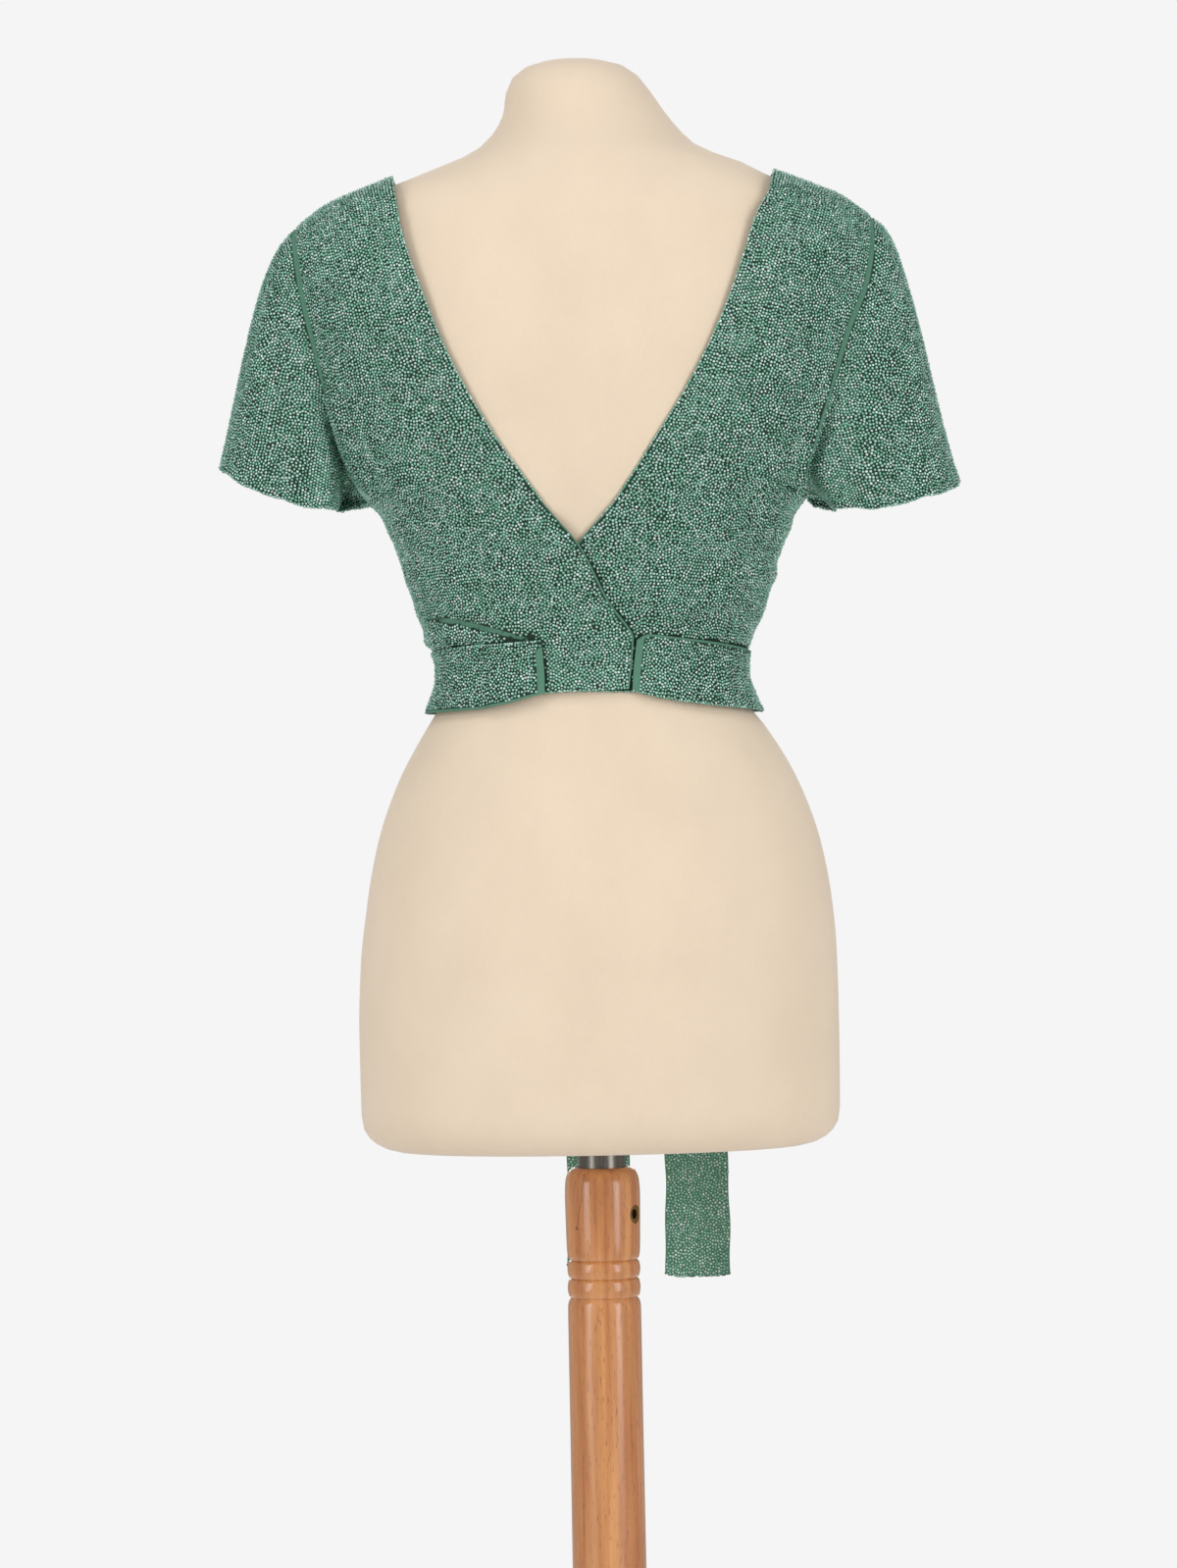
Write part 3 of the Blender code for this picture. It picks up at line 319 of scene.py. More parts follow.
TieRow = namedtuple("TieRow", "angle top bottom lean rise")
TIE_LEFT = [
    TieRow(-23.5, 1157.5, 1119.4, 0.0, 0.0),
    TieRow(-49.0, 1155.5, 1109.2, 0.0, 0.0),
    TieRow(-90.0, 1152.0, 1106.5, 0.0, 0.0),
    TieRow(-135.0, 1151.0, 1107.0, 0.0, 0.0),
    TieRow(-172.0, 1148.0, 1111.0, 0.0, 0.0),
    TieRow(-190.7, 1144.0, 1116.0, 0.0, 7.5),
]
TIE_RIGHT = [
    TieRow(21.4, 1156.5, 1121.2, 1.6, 0.0),
    TieRow(27.0, 1160.3, 1117.8, 1.0, 0.0),
    TieRow(46.0, 1156.8, 1111.0, 0.0, 0.0),
    TieRow(90.0, 1150.0, 1104.2, 0.0, 0.0),
    TieRow(122.0, 1150.0, 1107.0, 0.0, 0.0),
    TieRow(146.2, 1144.0, 1116.0, 0.0, 14.0),
]
TIE_STEPS = 90
TIE_COLUMNS = 12
TIE_TUCK = 3

KNOT_X = 40.0 * MM
KNOT_Z = 1130.0 * MM
KNOT_HALF_HEIGHT = 21.0 * MM
KNOT_HALF_WIDTH = 21.4 * MM
KNOT_HALF_DEPTH = 9.5 * MM
KNOT_SIDES = 64
KNOT_RINGS = 40
# The knot narrows to its ends, is squarer than round, and has a slanting band across it
KNOT_TAPER = 0.9
KNOT_TAPER_POWER = 5
KNOT_SQUARE_ACROSS = 0.8
KNOT_SQUARE_OUT = 0.75
BAND_SLANT = 0.35
BAND_WIDTH = 0.42
BAND_RISE = 2.5 * MM
EndRow = namedtuple("EndRow", "z middle half_width lift")
END_LEFT = [
    EndRow(1108.7, 28.5, 11.0, 9.0),
    EndRow(1085.0, 25.5, 13.8, 5.5),
    EndRow(1040.0, 18.0, 20.0, 2.0),
    EndRow(960.0, 7.0, 23.5, 1.2),
    EndRow(860.0, 0.0, 23.4, 1.2),
    EndRow(775.0, -2.4, 23.2, 1.2),
    EndRow(700.0, -3.0, 23.4, 1.2),
]
END_RIGHT = [
    EndRow(1108.7, 51.5, 11.0, 9.0),
    EndRow(1085.0, 55.2, 14.6, 5.5),
    EndRow(1040.0, 61.0, 21.0, 2.0),
    EndRow(960.0, 66.5, 23.0, 1.2),
    EndRow(860.0, 69.2, 23.2, 1.2),
    EndRow(771.0, 69.7, 23.2, 1.2),
    EndRow(693.0, 69.3, 23.6, 1.2),
]
END_STEPS = 100
END_COLUMNS = 12
END_MIDDLE = 1.25 * MM
END_SWAY = 0.35 * MM
END_SWAYS = (61, 137)
END_CUT = 2.6 * MM
END_CUT_RISE = 30.0 * MM
FRONT_REACH = 0.98
BELLY_HEIGHT = 965.0 * MM
END_FREE = 1055.0 * MM

# How wide the bare cloth is along each seam or edge. Below nothing, the beads hang over it.
BARE_BINDING = 0.1 * MM
BARE_NECKLINE = -0.5 * MM
BARE_HEM = -0.9 * MM
BARE_SEAM = -0.9 * MM
BARE_TIE_START = 4.7 * MM
BARE_TIE_EDGE = 1.0 * MM
# In millimetres at shares of a line: the dart's from its foot, an armhole's from the underarm
BARE_SHARES = (0.0, 0.25, 0.45, 0.8, 1.0)
BARE_DART = (0.7, 1.2, 1.4, 1.3, 0.3)
BARE_WRAP = (0.9, 0.9, -0.3, -0.5, -0.5)
BARE_ARMHOLES = {-1: (-0.8, 1.0, 1.8, 2.3, 1.9), 1: (-0.4, 1.5, 1.9, 1.7, 0.4)}
# How far beads keep from the edge of a layer that lies over their cloth
UNDER_WRAP = -0.4 * MM
UNDER_TIE = -0.7 * MM
# The slit that the left tie comes out of, as x and z
SLIT = [(-42.5, 1156.0), (-41.0, 1163.5)]

# Soft folds and creases, seen from behind: their course as x and z, half width and height. A
# trough's height is negative.
Crease = namedtuple("Crease", "half_width height course")
BACK_CREASES = {
    "left": [
        Crease(2.4, -1.6, [(-116, 1175.2), (-94, 1171.3), (-70, 1164.7), (-44, 1157.0)]),
        Crease(8.0, 2.6, [(-116, 1186), (-90, 1181), (-62, 1173), (-34, 1163)]),
        Crease(5.0, 2.6, [(-50, 1161), (-70, 1159.5), (-96, 1163), (-122, 1162)]),
        Crease(5.0, 3.6, [(-184, 1350), (-171, 1302), (-160, 1275), (-141, 1250)]),
        Crease(10.0, 1.6, [(-150, 1262), (-120, 1262), (-92, 1256), (-60, 1238)]),
    ],
    "right": [
        Crease(2.6, -1.4, [(42, 1160.5), (59, 1167), (79.5, 1172), (100, 1174.4)]),
        Crease(8.0, 2.8, [(46, 1170), (70, 1180.5), (94, 1184), (120, 1182)]),
        Crease(5.5, 4.4, [(184, 1348), (168, 1306), (153, 1276), (140, 1246)]),
        Crease(11.0, 1.5, [(142, 1240), (112, 1244), (86, 1236), (60, 1214)]),
    ],
}
FRONT_CREASES = {
    -1: [
        Crease(7.0, 2.4, [(-172, 1330), (-160, 1296), (-142, 1268), (-120, 1256)]),
        Crease(9.0, 2.4, [(-128, 1178), (-100, 1186), (-66, 1200), (-40, 1222)]),
        Crease(6.0, -1.6, [(-120, 1166), (-92, 1171), (-60, 1180), (-24, 1198)]),
        Crease(8.0, 1.8, [(-20, 1158), (-52, 1163), (-86, 1160), (-112, 1163)]),
    ],
    1: [
        Crease(7.0, 2.2, [(170, 1326), (156, 1292), (138, 1262), (112, 1250)]),
        Crease(9.0, 2.6, [(126, 1182), (104, 1188), (76, 1204), (52, 1228)]),
        Crease(5.0, -1.5, [(122, 1170), (98, 1174), (72, 1186), (50, 1206)]),
        Crease(10.0, 2.0, [(60, 1158), (76, 1166), (96, 1164), (114, 1160)]),
    ],
}
# Bulges that run round the side seams, the same before and behind
SIDE_CREASES = {
    -1: [
        Crease(6.0, 2.8, [(-90, 1159), (-116, 1160), (-150, 1158)]),
        Crease(6.0, 0.9, [(-104, 1200), (-128, 1204), (-160, 1200)]),
        Crease(5.0, 1.0, [(-112, 1236), (-138, 1240), (-170, 1236)]),
    ],
    1: [
        Crease(5.0, 1.9, [(98, 1199), (126, 1202), (160, 1199)]),
        Crease(3.4, -1.2, [(104, 1212), (130, 1213), (160, 1212)]),
        Crease(6.0, 1.3, [(108, 1234), (134, 1236), (170, 1234)]),
        Crease(4.0, -1.6, [(100, 1164), (118, 1164), (150, 1163)]),
    ],
}


class Smooth:
    """A curve through a table's column that never overshoots between two rows."""

    def __init__(self, places, values):
        self.x = np.asarray(places, float)
        self.y = np.asarray(values, float)
        step = np.diff(self.x)
        rate = np.diff(self.y) / step
        slope = np.zeros(len(self.x))
        for i in range(1, len(self.x) - 1):
            if rate[i - 1] * rate[i] > 0:
                before = 2 * step[i] + step[i - 1]
                after = step[i] + 2 * step[i - 1]
                slope[i] = (before + after) / (before / rate[i - 1] + after / rate[i])
        slope[0] = rate[0]
        slope[-1] = rate[-1]
        self.slope = slope

    def __call__(self, place):
        place = np.clip(place, self.x[0], self.x[-1])
        i = np.clip(np.searchsorted(self.x, place) - 1, 0, len(self.x) - 2)
        step = self.x[i + 1] - self.x[i]
        t = (place - self.x[i]) / step
        a = (1 + 2 * t) * (1 - t) ** 2 * self.y[i] + t * t * (3 - 2 * t) * self.y[i + 1]
        b = t * (1 - t) ** 2 * self.slope[i] - t * t * (1 - t) * self.slope[i + 1]
        return a + step * b


def columns(table):
    """Each column of a table as a smooth curve over its heights, in metres."""
    order = np.argsort([row.z for row in table])
    places = [table[i].z * MM for i in order]
    found = {}
    for name in table[0]._fields:
        unit = 1.0 if name == "squareness" else MM
        found[name] = Smooth(places, [getattr(table[i], name) * unit for i in order])
    return found


def smoothstep(x):
    x = np.clip(x, 0.0, 1.0)
    return x * x * (3 - 2 * x)


def bell(x, width):
    return np.exp(-((x / width) ** 2))


def unit(vectors):
    return vectors / np.maximum(np.linalg.norm(vectors, axis=-1, keepdims=True), 1e-12)


TORSO = columns(TORSO_SECTIONS)
CLOTH = columns(CLOTH_SECTIONS)


def section_sizes(z, cloth):
    """Half width, back, front, side line, squareness and shift of the form or the cloth at z."""
    if not cloth:
        return [TORSO[name](z) for name in Section._fields[1:]]
    ease = BODY_EASE + CLOTH["ease"](z)
    return [
        CLOTH["half_width"](z),
        TORSO["back"](z) - ease,
        TORSO["front"](z) + ease,
        TORSO["side"](z),
        CLOTH["squareness"](z),
        0.0 * z,
    ]


def bust(x, z, cloth):
    """How far the bust brings the front forward at x and z."""
    across = bell(np.abs(x) - BUST_SPREAD, BUST_WIDTH)
    drop = np.where(cloth & (z < BUST_HEIGHT), CLOTH_DROP, BUST_RISE)
    depth = BUST_DEPTH * across * bell(z - BUST_HEIGHT, drop)
    if cloth:
        depth = depth + BRIDGE_DEPTH * bell(x, BRIDGE_WIDTH) * bell(z - BUST_HEIGHT, drop)
    return depth


def body_point(angle, z, cloth=True):
    """Points of the level sections at z, angle radians round from the centre back to +X."""
    angle, z = np.broadcast_arrays(np.asarray(angle, float), np.asarray(z, float))
    half_width, back, front, side, squareness, shift = section_sizes(z, cloth)
    across, behind = np.sin(angle), np.cos(angle)
    depth = np.where(behind >= 0, side - back, front - side)
    power = (np.abs(across) / half_width) ** squareness
    power = power + (np.abs(behind) / depth) ** squareness
    radius = power ** (-1 / squareness)
    x, y = shift + radius * across, side - radius * behind
    y = y + np.where(behind < 0, bust(x, z, cloth) * smoothstep(-2 * behind), 0.0)
    return np.stack((x, y, z + 0.0 * x), -1)


def body_normal(angle, z, cloth=True):
    step_angle, step_z = 0.01, 1.0 * MM
    round_it = body_point(angle + step_angle, z, cloth) - body_point(angle - step_angle, z, cloth)
    up = body_point(angle, z + step_z, cloth) - body_point(angle, z - step_z, cloth)
    return unit(np.cross(round_it, up))


def angle_at(x, z, in_front=False):
    """The angle at which the cloth's section at z passes x."""
    half_width, back, front, side, squareness, _ = section_sizes(z, True)
    share = np.minimum(np.abs(x) / half_width, 1.0)
    depth = front - side if in_front else side - back
    behind = depth * (1 - share**squareness) ** (1 / squareness)
    return np.arctan2(np.copysign(share * half_width, x), -behind if in_front else behind)


def cut_column(name):
    """One column of the cut as a curve over the row number, in degrees or in metres."""
    unit_size = math.radians(1) if name == "front_seam" else MM
    return Smooth(range(len(CUT_ROWS)), [getattr(row, name) * unit_size for row in CUT_ROWS])


CUT = {name: cut_column(name) for name in CutRow._fields}


def outer_edge(row, side, in_front):
    """Angle and height where a row meets the side seam, armhole or shoulder seam."""
    z = float(CUT["z"](row))
    clear = SEAM_GAP / 2 / float(CLOTH["half_width"](z))
    quarter = side * math.pi / 2
    on_seam = UNDERARM_ROW < row < SHOULDER_ROW
    if in_front:
        away = float(CUT["front_seam"](row)) if on_seam else 0.0
        return quarter + side * max(away, clear), z
    seam = CUT["left_seam" if side < 0 else "right_seam"]
    angle = float(angle_at(side * seam(row), z)) if on_seam else quarter
    return side * min(abs(angle), math.pi / 2 - clear), z


def inner_edge(row, panel, side):
    """Angle and height of a panel's neckline, wrap or centre edge."""
    x = float(CUT[panel + "_x"](row))
    z = float(CUT[panel + "_z"](row))
    if row >= SHOULDER_ROW:
        return outer_edge(row, side, panel == "front")[0], z
    if panel == "front":
        if NECKLINE_ROW < row < NECKLINE_ROW + 1:
            share = row - NECKLINE_ROW
            low, high = CUT_ROWS[NECKLINE_ROW], CUT_ROWS[NECKLINE_ROW + 1]
            x = high.front_x * share * MM
            z = (low.front_z + (high.front_z - low.front_z) * share**2) * MM
        return float(angle_at(side * max(x, 1e-9), z, True)), z
    return float(angle_at(x, z)), z


UNDER_EDGE = Smooth(
    [row.right_z * MM for row in CUT_ROWS], [row.right_x * MM for row in CUT_ROWS]
)


def wrap_lift(x, z):
    """How far the left back panel is lifted where it lies over the right one."""
    return WRAP_LIFT * smoothstep((x - UNDER_EDGE(z) + WRAP_MARGIN) / WRAP_RAMP)


def near_line(points, course):
    """Each point's distance from a line through the given points, and its share along it."""
    course = np.asarray(course, float)
    best = np.full(len(points), np.inf)
    share = np.zeros(len(points))
    for k, (start, end) in enumerate(zip(course[:-1], course[1:], strict=True)):
        step = end - start
        t = np.clip(((points - start) @ step) / (step @ step), 0.0, 1.0)
        far = np.linalg.norm(points - start - t[:, None] * step, axis=1)
        share = np.where(far < best, (k + t) / (len(course) - 1), share)
        best = np.minimum(best, far)
    return best, share


def crease_height(base, creases):
    """How far the folds raise the cloth at each point of a grid, seen from behind."""
    flat = base[..., [0, 2]].reshape(-1, 2)
    raised = np.zeros(len(flat))
    for crease in creases:
        course = np.asarray(crease.course, float) * MM
        far, share = near_line(flat, course)
        ends = smoothstep(share / CREASE_END) * smoothstep((1 - share) / CREASE_END)
        raised += crease.height * MM * ends * bell(far, crease.half_width * MM)
    return raised.reshape(base.shape[:-1])


def grid_quads(rows, cols, wrap=False):
    """Corner numbers of a grid's faces. rows and cols count the faces each way."""
    across = cols if wrap else cols + 1
    r, c = np.meshgrid(np.arange(rows), np.arange(cols), indexing="ij")
    right = (c + 1) % across
    corners = (r * across + c, r * across + right, (r + 1) * across + right, (r + 1) * across + c)
    return np.stack(corners, -1).reshape(-1, 4)


def mesh_object(name, points, quads, triangles=()):
    """A smooth mesh object from arrays, linked to the scene."""
    quads = np.asarray(quads, np.int64).reshape(-1, 4)
    triangles = np.asarray(triangles, np.int64).reshape(-1, 3)
    mesh = bpy.data.meshes.new(name)
    mesh.vertices.add(len(points))
    mesh.vertices.foreach_set("co", np.asarray(points, np.float32).ravel())
    loops = np.concatenate((quads.ravel(), triangles.ravel()))
    mesh.loops.add(len(loops))
    mesh.loops.foreach_set("vertex_index", loops.astype(np.int32))
    starts = np.concatenate(
        (np.arange(len(quads)) * 4, len(quads) * 4 + np.arange(len(triangles)) * 3)
    )
    mesh.polygons.add(len(starts))
    mesh.polygons.foreach_set("loop_start", starts.astype(np.int32))
    mesh.polygons.foreach_set("use_smooth", np.full(len(starts), True))
    mesh.update(calc_edges=True)
    obj = bpy.data.objects.new(name, mesh)
    bpy.context.scene.collection.objects.link(obj)
    return obj


def set_attribute(obj, name, values):
    attribute = obj.data.attributes.new(name, "FLOAT", "POINT")
    attribute.data.foreach_set("value", np.asarray(values, np.float32))


def face_outwards(obj):
    """Turns the faces of a closed mesh outwards."""
    work = bmesh.new()
    work.from_mesh(obj.data)
    bmesh.ops.recalc_face_normals(work, faces=work.faces)
    work.to_mesh(obj.data)
    work.free()


def select_only(obj):
    """Selects one object and makes it the active one."""
    bpy.ops.object.select_all(action="DESELECT")
    obj.select_set(True)
    bpy.context.view_layer.objects.active = obj


def rim_pairs(quads):
    """The edges that only one face uses, as that face turns."""
    edges = np.concatenate([quads[:, [k, (k + 1) % 4]] for k in range(4)])
    keys = np.sort(edges, 1)
    _, index, count = np.unique(keys, axis=0, return_index=True, return_counts=True)
    return edges[index[count == 1]]


def cloth_shell(name, low, high, quads, clear):
    """A thin closed wall between two skins, whose outer skin knows how far it is from bare cloth."""
    count = len(low)
    rim = rim_pairs(quads)
    edge = np.stack((rim[:, 1] + count, rim[:, 0] + count, rim[:, 0], rim[:, 1]), 1)
    faces = np.concatenate((quads + count, quads[:, ::-1], edge))
    obj = mesh_object(name, np.concatenate((low, high)), faces)
    face_outwards(obj)
    # The clear distance also tells the cloth's material where to paint shade between beads. The inner
    # skin, at -1, gets none.
    set_attribute(obj, "clear", np.concatenate((np.full(count, -1.0), clear)))
    obj.data.set_sharp_from_angle(angle=CLOTH_SHARP)
    return obj


class Cloth:
    """One piece of cloth: its two skins and their faces, the room for beads on it, and its hems."""

    def __init__(self, name, low, high, quads, clear, hidden=None, hems=(), both_faces=False):
        self.name, self.low, self.high, self.quads = name, low, high, quads
        self.hems = hems
        self.room = clear if hidden is None else np.minimum(clear, hidden)
        self.both_faces = both_faces
        self.shell = cloth_shell(name, low, high, quads, clear)


def scatter_group(seed):
    """Geometry nodes that strew points on a surface, none nearer to another than BEAD_SPACING."""
    group = bpy.data.node_groups.new("strew_beads", "GeometryNodeTree")
    group.interface.new_socket("Geometry", in_out="INPUT", socket_type="NodeSocketGeometry")
    group.interface.new_socket("Geometry", in_out="OUTPUT", socket_type="NodeSocketGeometry")
    start, end = group.nodes.new("NodeGroupInput"), group.nodes.new("NodeGroupOutput")
    strew = group.nodes.new("GeometryNodeDistributePointsOnFaces")
    strew.distribute_method = "POISSON"
    strew.inputs["Distance Min"].default_value = BEAD_SPACING
    strew.inputs["Density Max"].default_value = BEAD_CANDIDATES
    strew.inputs["Seed"].default_value = seed
    keep = group.nodes.new("GeometryNodeStoreNamedAttribute")
    keep.data_type = "FLOAT_VECTOR"
    keep.inputs["Name"].default_value = "stand"
    made = group.nodes.new("GeometryNodePointsToVertices")
    link = group.links.new
    link(start.outputs[0], strew.inputs["Mesh"])
    link(strew.outputs["Points"], keep.inputs["Geometry"])
    link(strew.outputs["Normal"], keep.inputs["Value"])
    link(keep.outputs["Geometry"], made.inputs["Points"])
    link(made.outputs[0], end.inputs[0])
    return group


def strewn_points(points, quads, clear, seed):
    """Places and normals of the beads on a surface, clear of its bare lines."""
    surface = mesh_object("strewing", points, quads)
    set_attribute(surface, "clear", clear)
    modifier = surface.modifiers.new("strew", "NODES")
    modifier.node_group = scatter_group(seed)
    select_only(surface)
    bpy.ops.object.modifier_apply(modifier=modifier.name)
    mesh = surface.data
    count = len(mesh.vertices)
    places, normals, room = np.empty(count * 3), np.empty(count * 3), np.empty(count)
    mesh.vertices.foreach_get("co", places)
    mesh.attributes["stand"].data.foreach_get("vector", normals)
    mesh.attributes["clear"].data.foreach_get("value", room)
    bpy.data.objects.remove(surface)
    keep = room > BEAD_CLEAR
    places, normals = places.reshape(-1, 3)[keep], unit(normals.reshape(-1, 3)[keep])
    return settle(places, normals, smoothstep(room[keep] / FREE_ROOM)), normals


def neighbours(places, reach):
    """Every pair of points that lie in the same or in touching cells of a grid."""
    cell = np.floor(places / reach).astype(np.int64)
    cell += 1 - cell.min(0)
    size = cell.max(0) + 2
    key = (cell[:, 0] * size[1] + cell[:, 1]) * size[2] + cell[:, 2]
    order = np.argsort(key, kind="stable")
    ranked = key[order]
    firsts, seconds = [], []
    for step in itertools.product((-1, 0, 1), repeat=3):
        target = key + (step[0] * size[1] + step[1]) * size[2] + step[2]
        low, high = np.searchsorted(ranked, target), np.searchsorted(ranked, target, "right")
        for k in range(int((high - low).max())):
            near = np.flatnonzero(low + k < high)
            firsts.append(near)
            seconds.append(order[low[near] + k])
    first, second = np.concatenate(firsts), np.concatenate(seconds)
    return first[first != second], second[first != second]


def settle(places, normals, freedom):
    """Pushes crowded beads apart along the cloth, so that they pack evenly."""
    for _ in range(SETTLE_STEPS):
        first, second = neighbours(places, SETTLE_PITCH)
        apart = places[first] - places[second]
        far = np.maximum(np.linalg.norm(apart, axis=1), 1e-6)
        push = apart * (np.maximum(SETTLE_PITCH - far, 0.0) / far * SETTLE_SHARE)[:, None]
        move = np.stack([np.bincount(first, push[:, k], len(places)) for k in range(3)], 1)
        move -= normals * np.sum(normals * move, 1, keepdims=True)
        places = places + move * freedom[:, None]
    return places


def hem_beads(hem, draws):
    """Beads in a row along a hem, leaning over its edge. A hem is its edge, the next line in and
    the edge of the other skin."""
    line, inside, under = hem
    run = np.concatenate(([0.0], np.cumsum(np.linalg.norm(np.diff(line, axis=0), axis=1))))
    place = np.arange(HEM_PITCH / 2, run[-1], HEM_PITCH)
    place = place + HEM_PITCH * HEM_SCATTER * draws.normal(size=len(place))
    edge, inner, low = (
        np.stack([np.interp(place, run, part[:, k]) for k in range(3)], 1)
        for part in (line, inside, under)
    )
    out, up = unit(edge - inner), unit(edge - low)
    return (edge + low) / 2, unit(out * HEM_LEAN + up)


def bead_mesh(name, places, normals, draws):
    """Low glass beads as one mesh, each with its own shade, size, turn and lean."""
    count = len(places)
    shade = draws.random(count)
    turn = draws.random(count) * 2 * math.pi
    size = BEAD_LEAST + BEAD_VARIES * draws.random(count)
    lean = draws.normal(0.0, BEAD_LEAN, (count, 3))
    up = unit(normals + lean)
    side = unit(np.cross(up, np.where(np.abs(up[:, [2]]) < 0.9, (0, 0, 1.0), (1.0, 0, 0))))
    other = np.cross(up, side)
    corners = turn[:, None] + np.arange(BEAD_SIDES) * 2 * math.pi / BEAD_SIDES
    reach = (BEAD_RADIUS * size)[:, None, None]
    ring = np.cos(corners)[..., None] * side[:, None] + np.sin(corners)[..., None] * other[:, None]
    ring = (places - up * BEAD_SINK)[:, None] + ring * reach
    crown = places + up * (BEAD_HEIGHT * size + BEAD_RISE * draws.random(count) ** 2)[:, None]
    points = np.concatenate((ring, crown[:, None]), 1).reshape(-1, 3)
    each = BEAD_SIDES + 1
    corner = np.arange(BEAD_SIDES)
    one = np.stack((corner, (corner + 1) % BEAD_SIDES, np.full(BEAD_SIDES, BEAD_SIDES)), 1)
    faces = (one[None] + np.arange(count)[:, None, None] * each).reshape(-1, 3)
    obj = mesh_object(name, points, [], faces)
    set_attribute(obj, "shade", np.repeat(shade, each))
    # The crown value is 1 at a bead's top and 0 round its rim. The bead material paints shade towards
    # the rim with it.
    top = np.zeros((count, each))
    top[:, -1] = 1.0
    set_attribute(obj, "crown", top.ravel())
    cell = np.floor(shade * SHADE_CELLS**2)
    middle = np.stack((cell % SHADE_CELLS, cell // SHADE_CELLS), 1) + 0.5
    hexagon = np.stack((np.cos(corner * math.pi / 3), np.sin(corner * math.pi / 3)), 1)
    spread = np.concatenate((hexagon, [[0.0, 0.0]])) * SHADE_REACH
    place = (middle[:, None] + spread[None]).reshape(-1, 2) / SHADE_CELLS
    chart = obj.data.uv_layers.new(name="OFBake")
    chart.data.foreach_set("uv", place[faces.ravel()].astype(np.float32).ravel())
    return obj


def smooth_rows():
    """Row numbers of the cut at the fineness of the shown cloth."""
    found = [np.linspace(a, b, (b - a) * n + 1)[:-1] for a, b, n in PANEL_ROW_STEPS]
    return np.concatenate((*found, [SHOULDER_ROW]))


ROWS = smooth_rows()


def panel_grid(panel, side, cols, creases):
    """Both skins of a panel as grids, and each point's distance from the bare lines."""
    in_front = panel == "front"
    starts = np.array([outer_edge(row, side, in_front) for row in ROWS])
    ends = np.array([inner_edge(row, panel, side) for row in ROWS])
    share = np.linspace(0, 1, cols + 1)[None, :]
    angle = starts[:, :1] + (ends[:, :1] - starts[:, :1]) * share
    z = starts[:, 1:] + (ends[:, 1:] - starts[:, 1:]) * share
    normal = body_normal(angle, z)
    base = body_point(angle, z)
    lift = wrap_lift(base[..., 0], z) if panel == "left" else 0.0 * z
    raised = crease_height(base, creases)
    hug = smoothstep((share - HUG_SHARE) / (1 - HUG_SHARE))
    hug = hug * smoothstep((ends[:, 1:] - HUG_FROM[in_front]) / HUG_RISE)
    lift = lift - hug * (CLOTH["ease"](z) + HUG) * (1 - smoothstep((z - HUG_TO) / HUG_FADE + 1))
    low = base + normal * (lift + np.maximum(raised, 0.0) * INNER_FOLLOWS)[..., None]
    wall = np.maximum(CLOTH_WALL + raised, LEAST_WALL)
    high = base + normal * (lift + wall)[..., None]
    return low, high


def edge_room(grid, edges):
    """How far each point of a grid is from bare cloth. Each edge is a line and its bare width."""
    flat = grid.reshape(-1, 3)
    room = np.full(len(flat), ALL_CLEAR)
    for course, bare in edges:
        far, share = near_line(flat, course)
        if isinstance(bare, tuple):
            bare = np.interp(share, BARE_SHARES, bare) * MM
        room = np.minimum(room, far - bare)
    return room


def panel_room(high, side, inner, bare):
    """The room for beads on a panel, whose inner edge is a line with its own bare width."""
    armhole = UNDERARM_ROW <= ROWS
    edges = [
        (high[armhole, 0], BARE_ARMHOLES[side]),
        (high[~armhole, 0], BARE_SEAM),
        (inner, bare),
        (high[-1], BARE_SEAM),
        (high[0], BARE_HEM),
    ]
    return edge_room(high, edges)


def back_panel(panel, side):
    """One of the two back panels, which cross at the foot of the deep neckline."""
    creases = BACK_CREASES[panel] + SIDE_CREASES[side]
    low, high = panel_grid(panel, side, PANEL_COLUMNS, creases)
    quads = grid_quads(len(ROWS) - 1, PANEL_COLUMNS)
    room = panel_room(high, side, high[::2, -1], BARE_WRAP)
    hidden = under_ties(high)
    if panel == "right":
        hidden = np.minimum(hidden, under_wrap(high))
    else:
        behind = high[..., [0, 2]].reshape(-1, 2)
        dart = BACK_CREASES["left"][0].course[::-1]
        far, share = near_line(behind, np.array(dart) * MM)
        room = np.minimum(room, far - np.interp(share, BARE_SHARES, BARE_DART) * MM)
        hidden = np.minimum(hidden, near_line(behind, np.array(SLIT) * MM)[0])
    open_edge = CUT["z"](ROWS) > (WRAP_POINT if panel == "right" else NECK_BEADS)
    hems = [(high[0], high[1], low[0])]
    hems.append((high[open_edge, -1], high[open_edge, -2], low[open_edge, -1]))
    low, high = low.reshape(-1, 3), high.reshape(-1, 3)
    return Cloth("back_" + panel + "_cloth", low, high, quads, room, hidden, hems)


def under_wrap(grid):
    """How far each point of the right back panel shows past the left panel's edge."""
    flat = grid.reshape(-1, 3)
    over = Smooth([row.left_z * MM for row in CUT_ROWS], [row.left_x * MM for row in CUT_ROWS])
    past = flat[:, 0] - over(flat[:, 2])
    return np.where(flat[:, 2] < WRAP_POINT, past - UNDER_WRAP, ALL_CLEAR)


def under_ties(grid):
    """How far each point of the panels shows above the ties, or lies clear of their ends."""
    flat = grid.reshape(-1, 3)
    found = np.full(len(flat), ALL_CLEAR)
    for table, sign in ((TIE_LEFT, -1), (TIE_RIGHT, 1)):
        turn = sign * np.degrees(np.arctan2(flat[:, 0], -flat[:, 1]))
        turns = [sign * row.angle for row in table]
        top = np.interp(turn, turns, [row.top * MM for row in table])
        above = flat[:, 2] - top - UNDER_TIE
        before = np.radians(turns[0] - turn) * np.hypot(flat[:, 0], flat[:, 1]) - UNDER_TIE
        found = np.minimum(found, np.maximum(above, before))
    return found


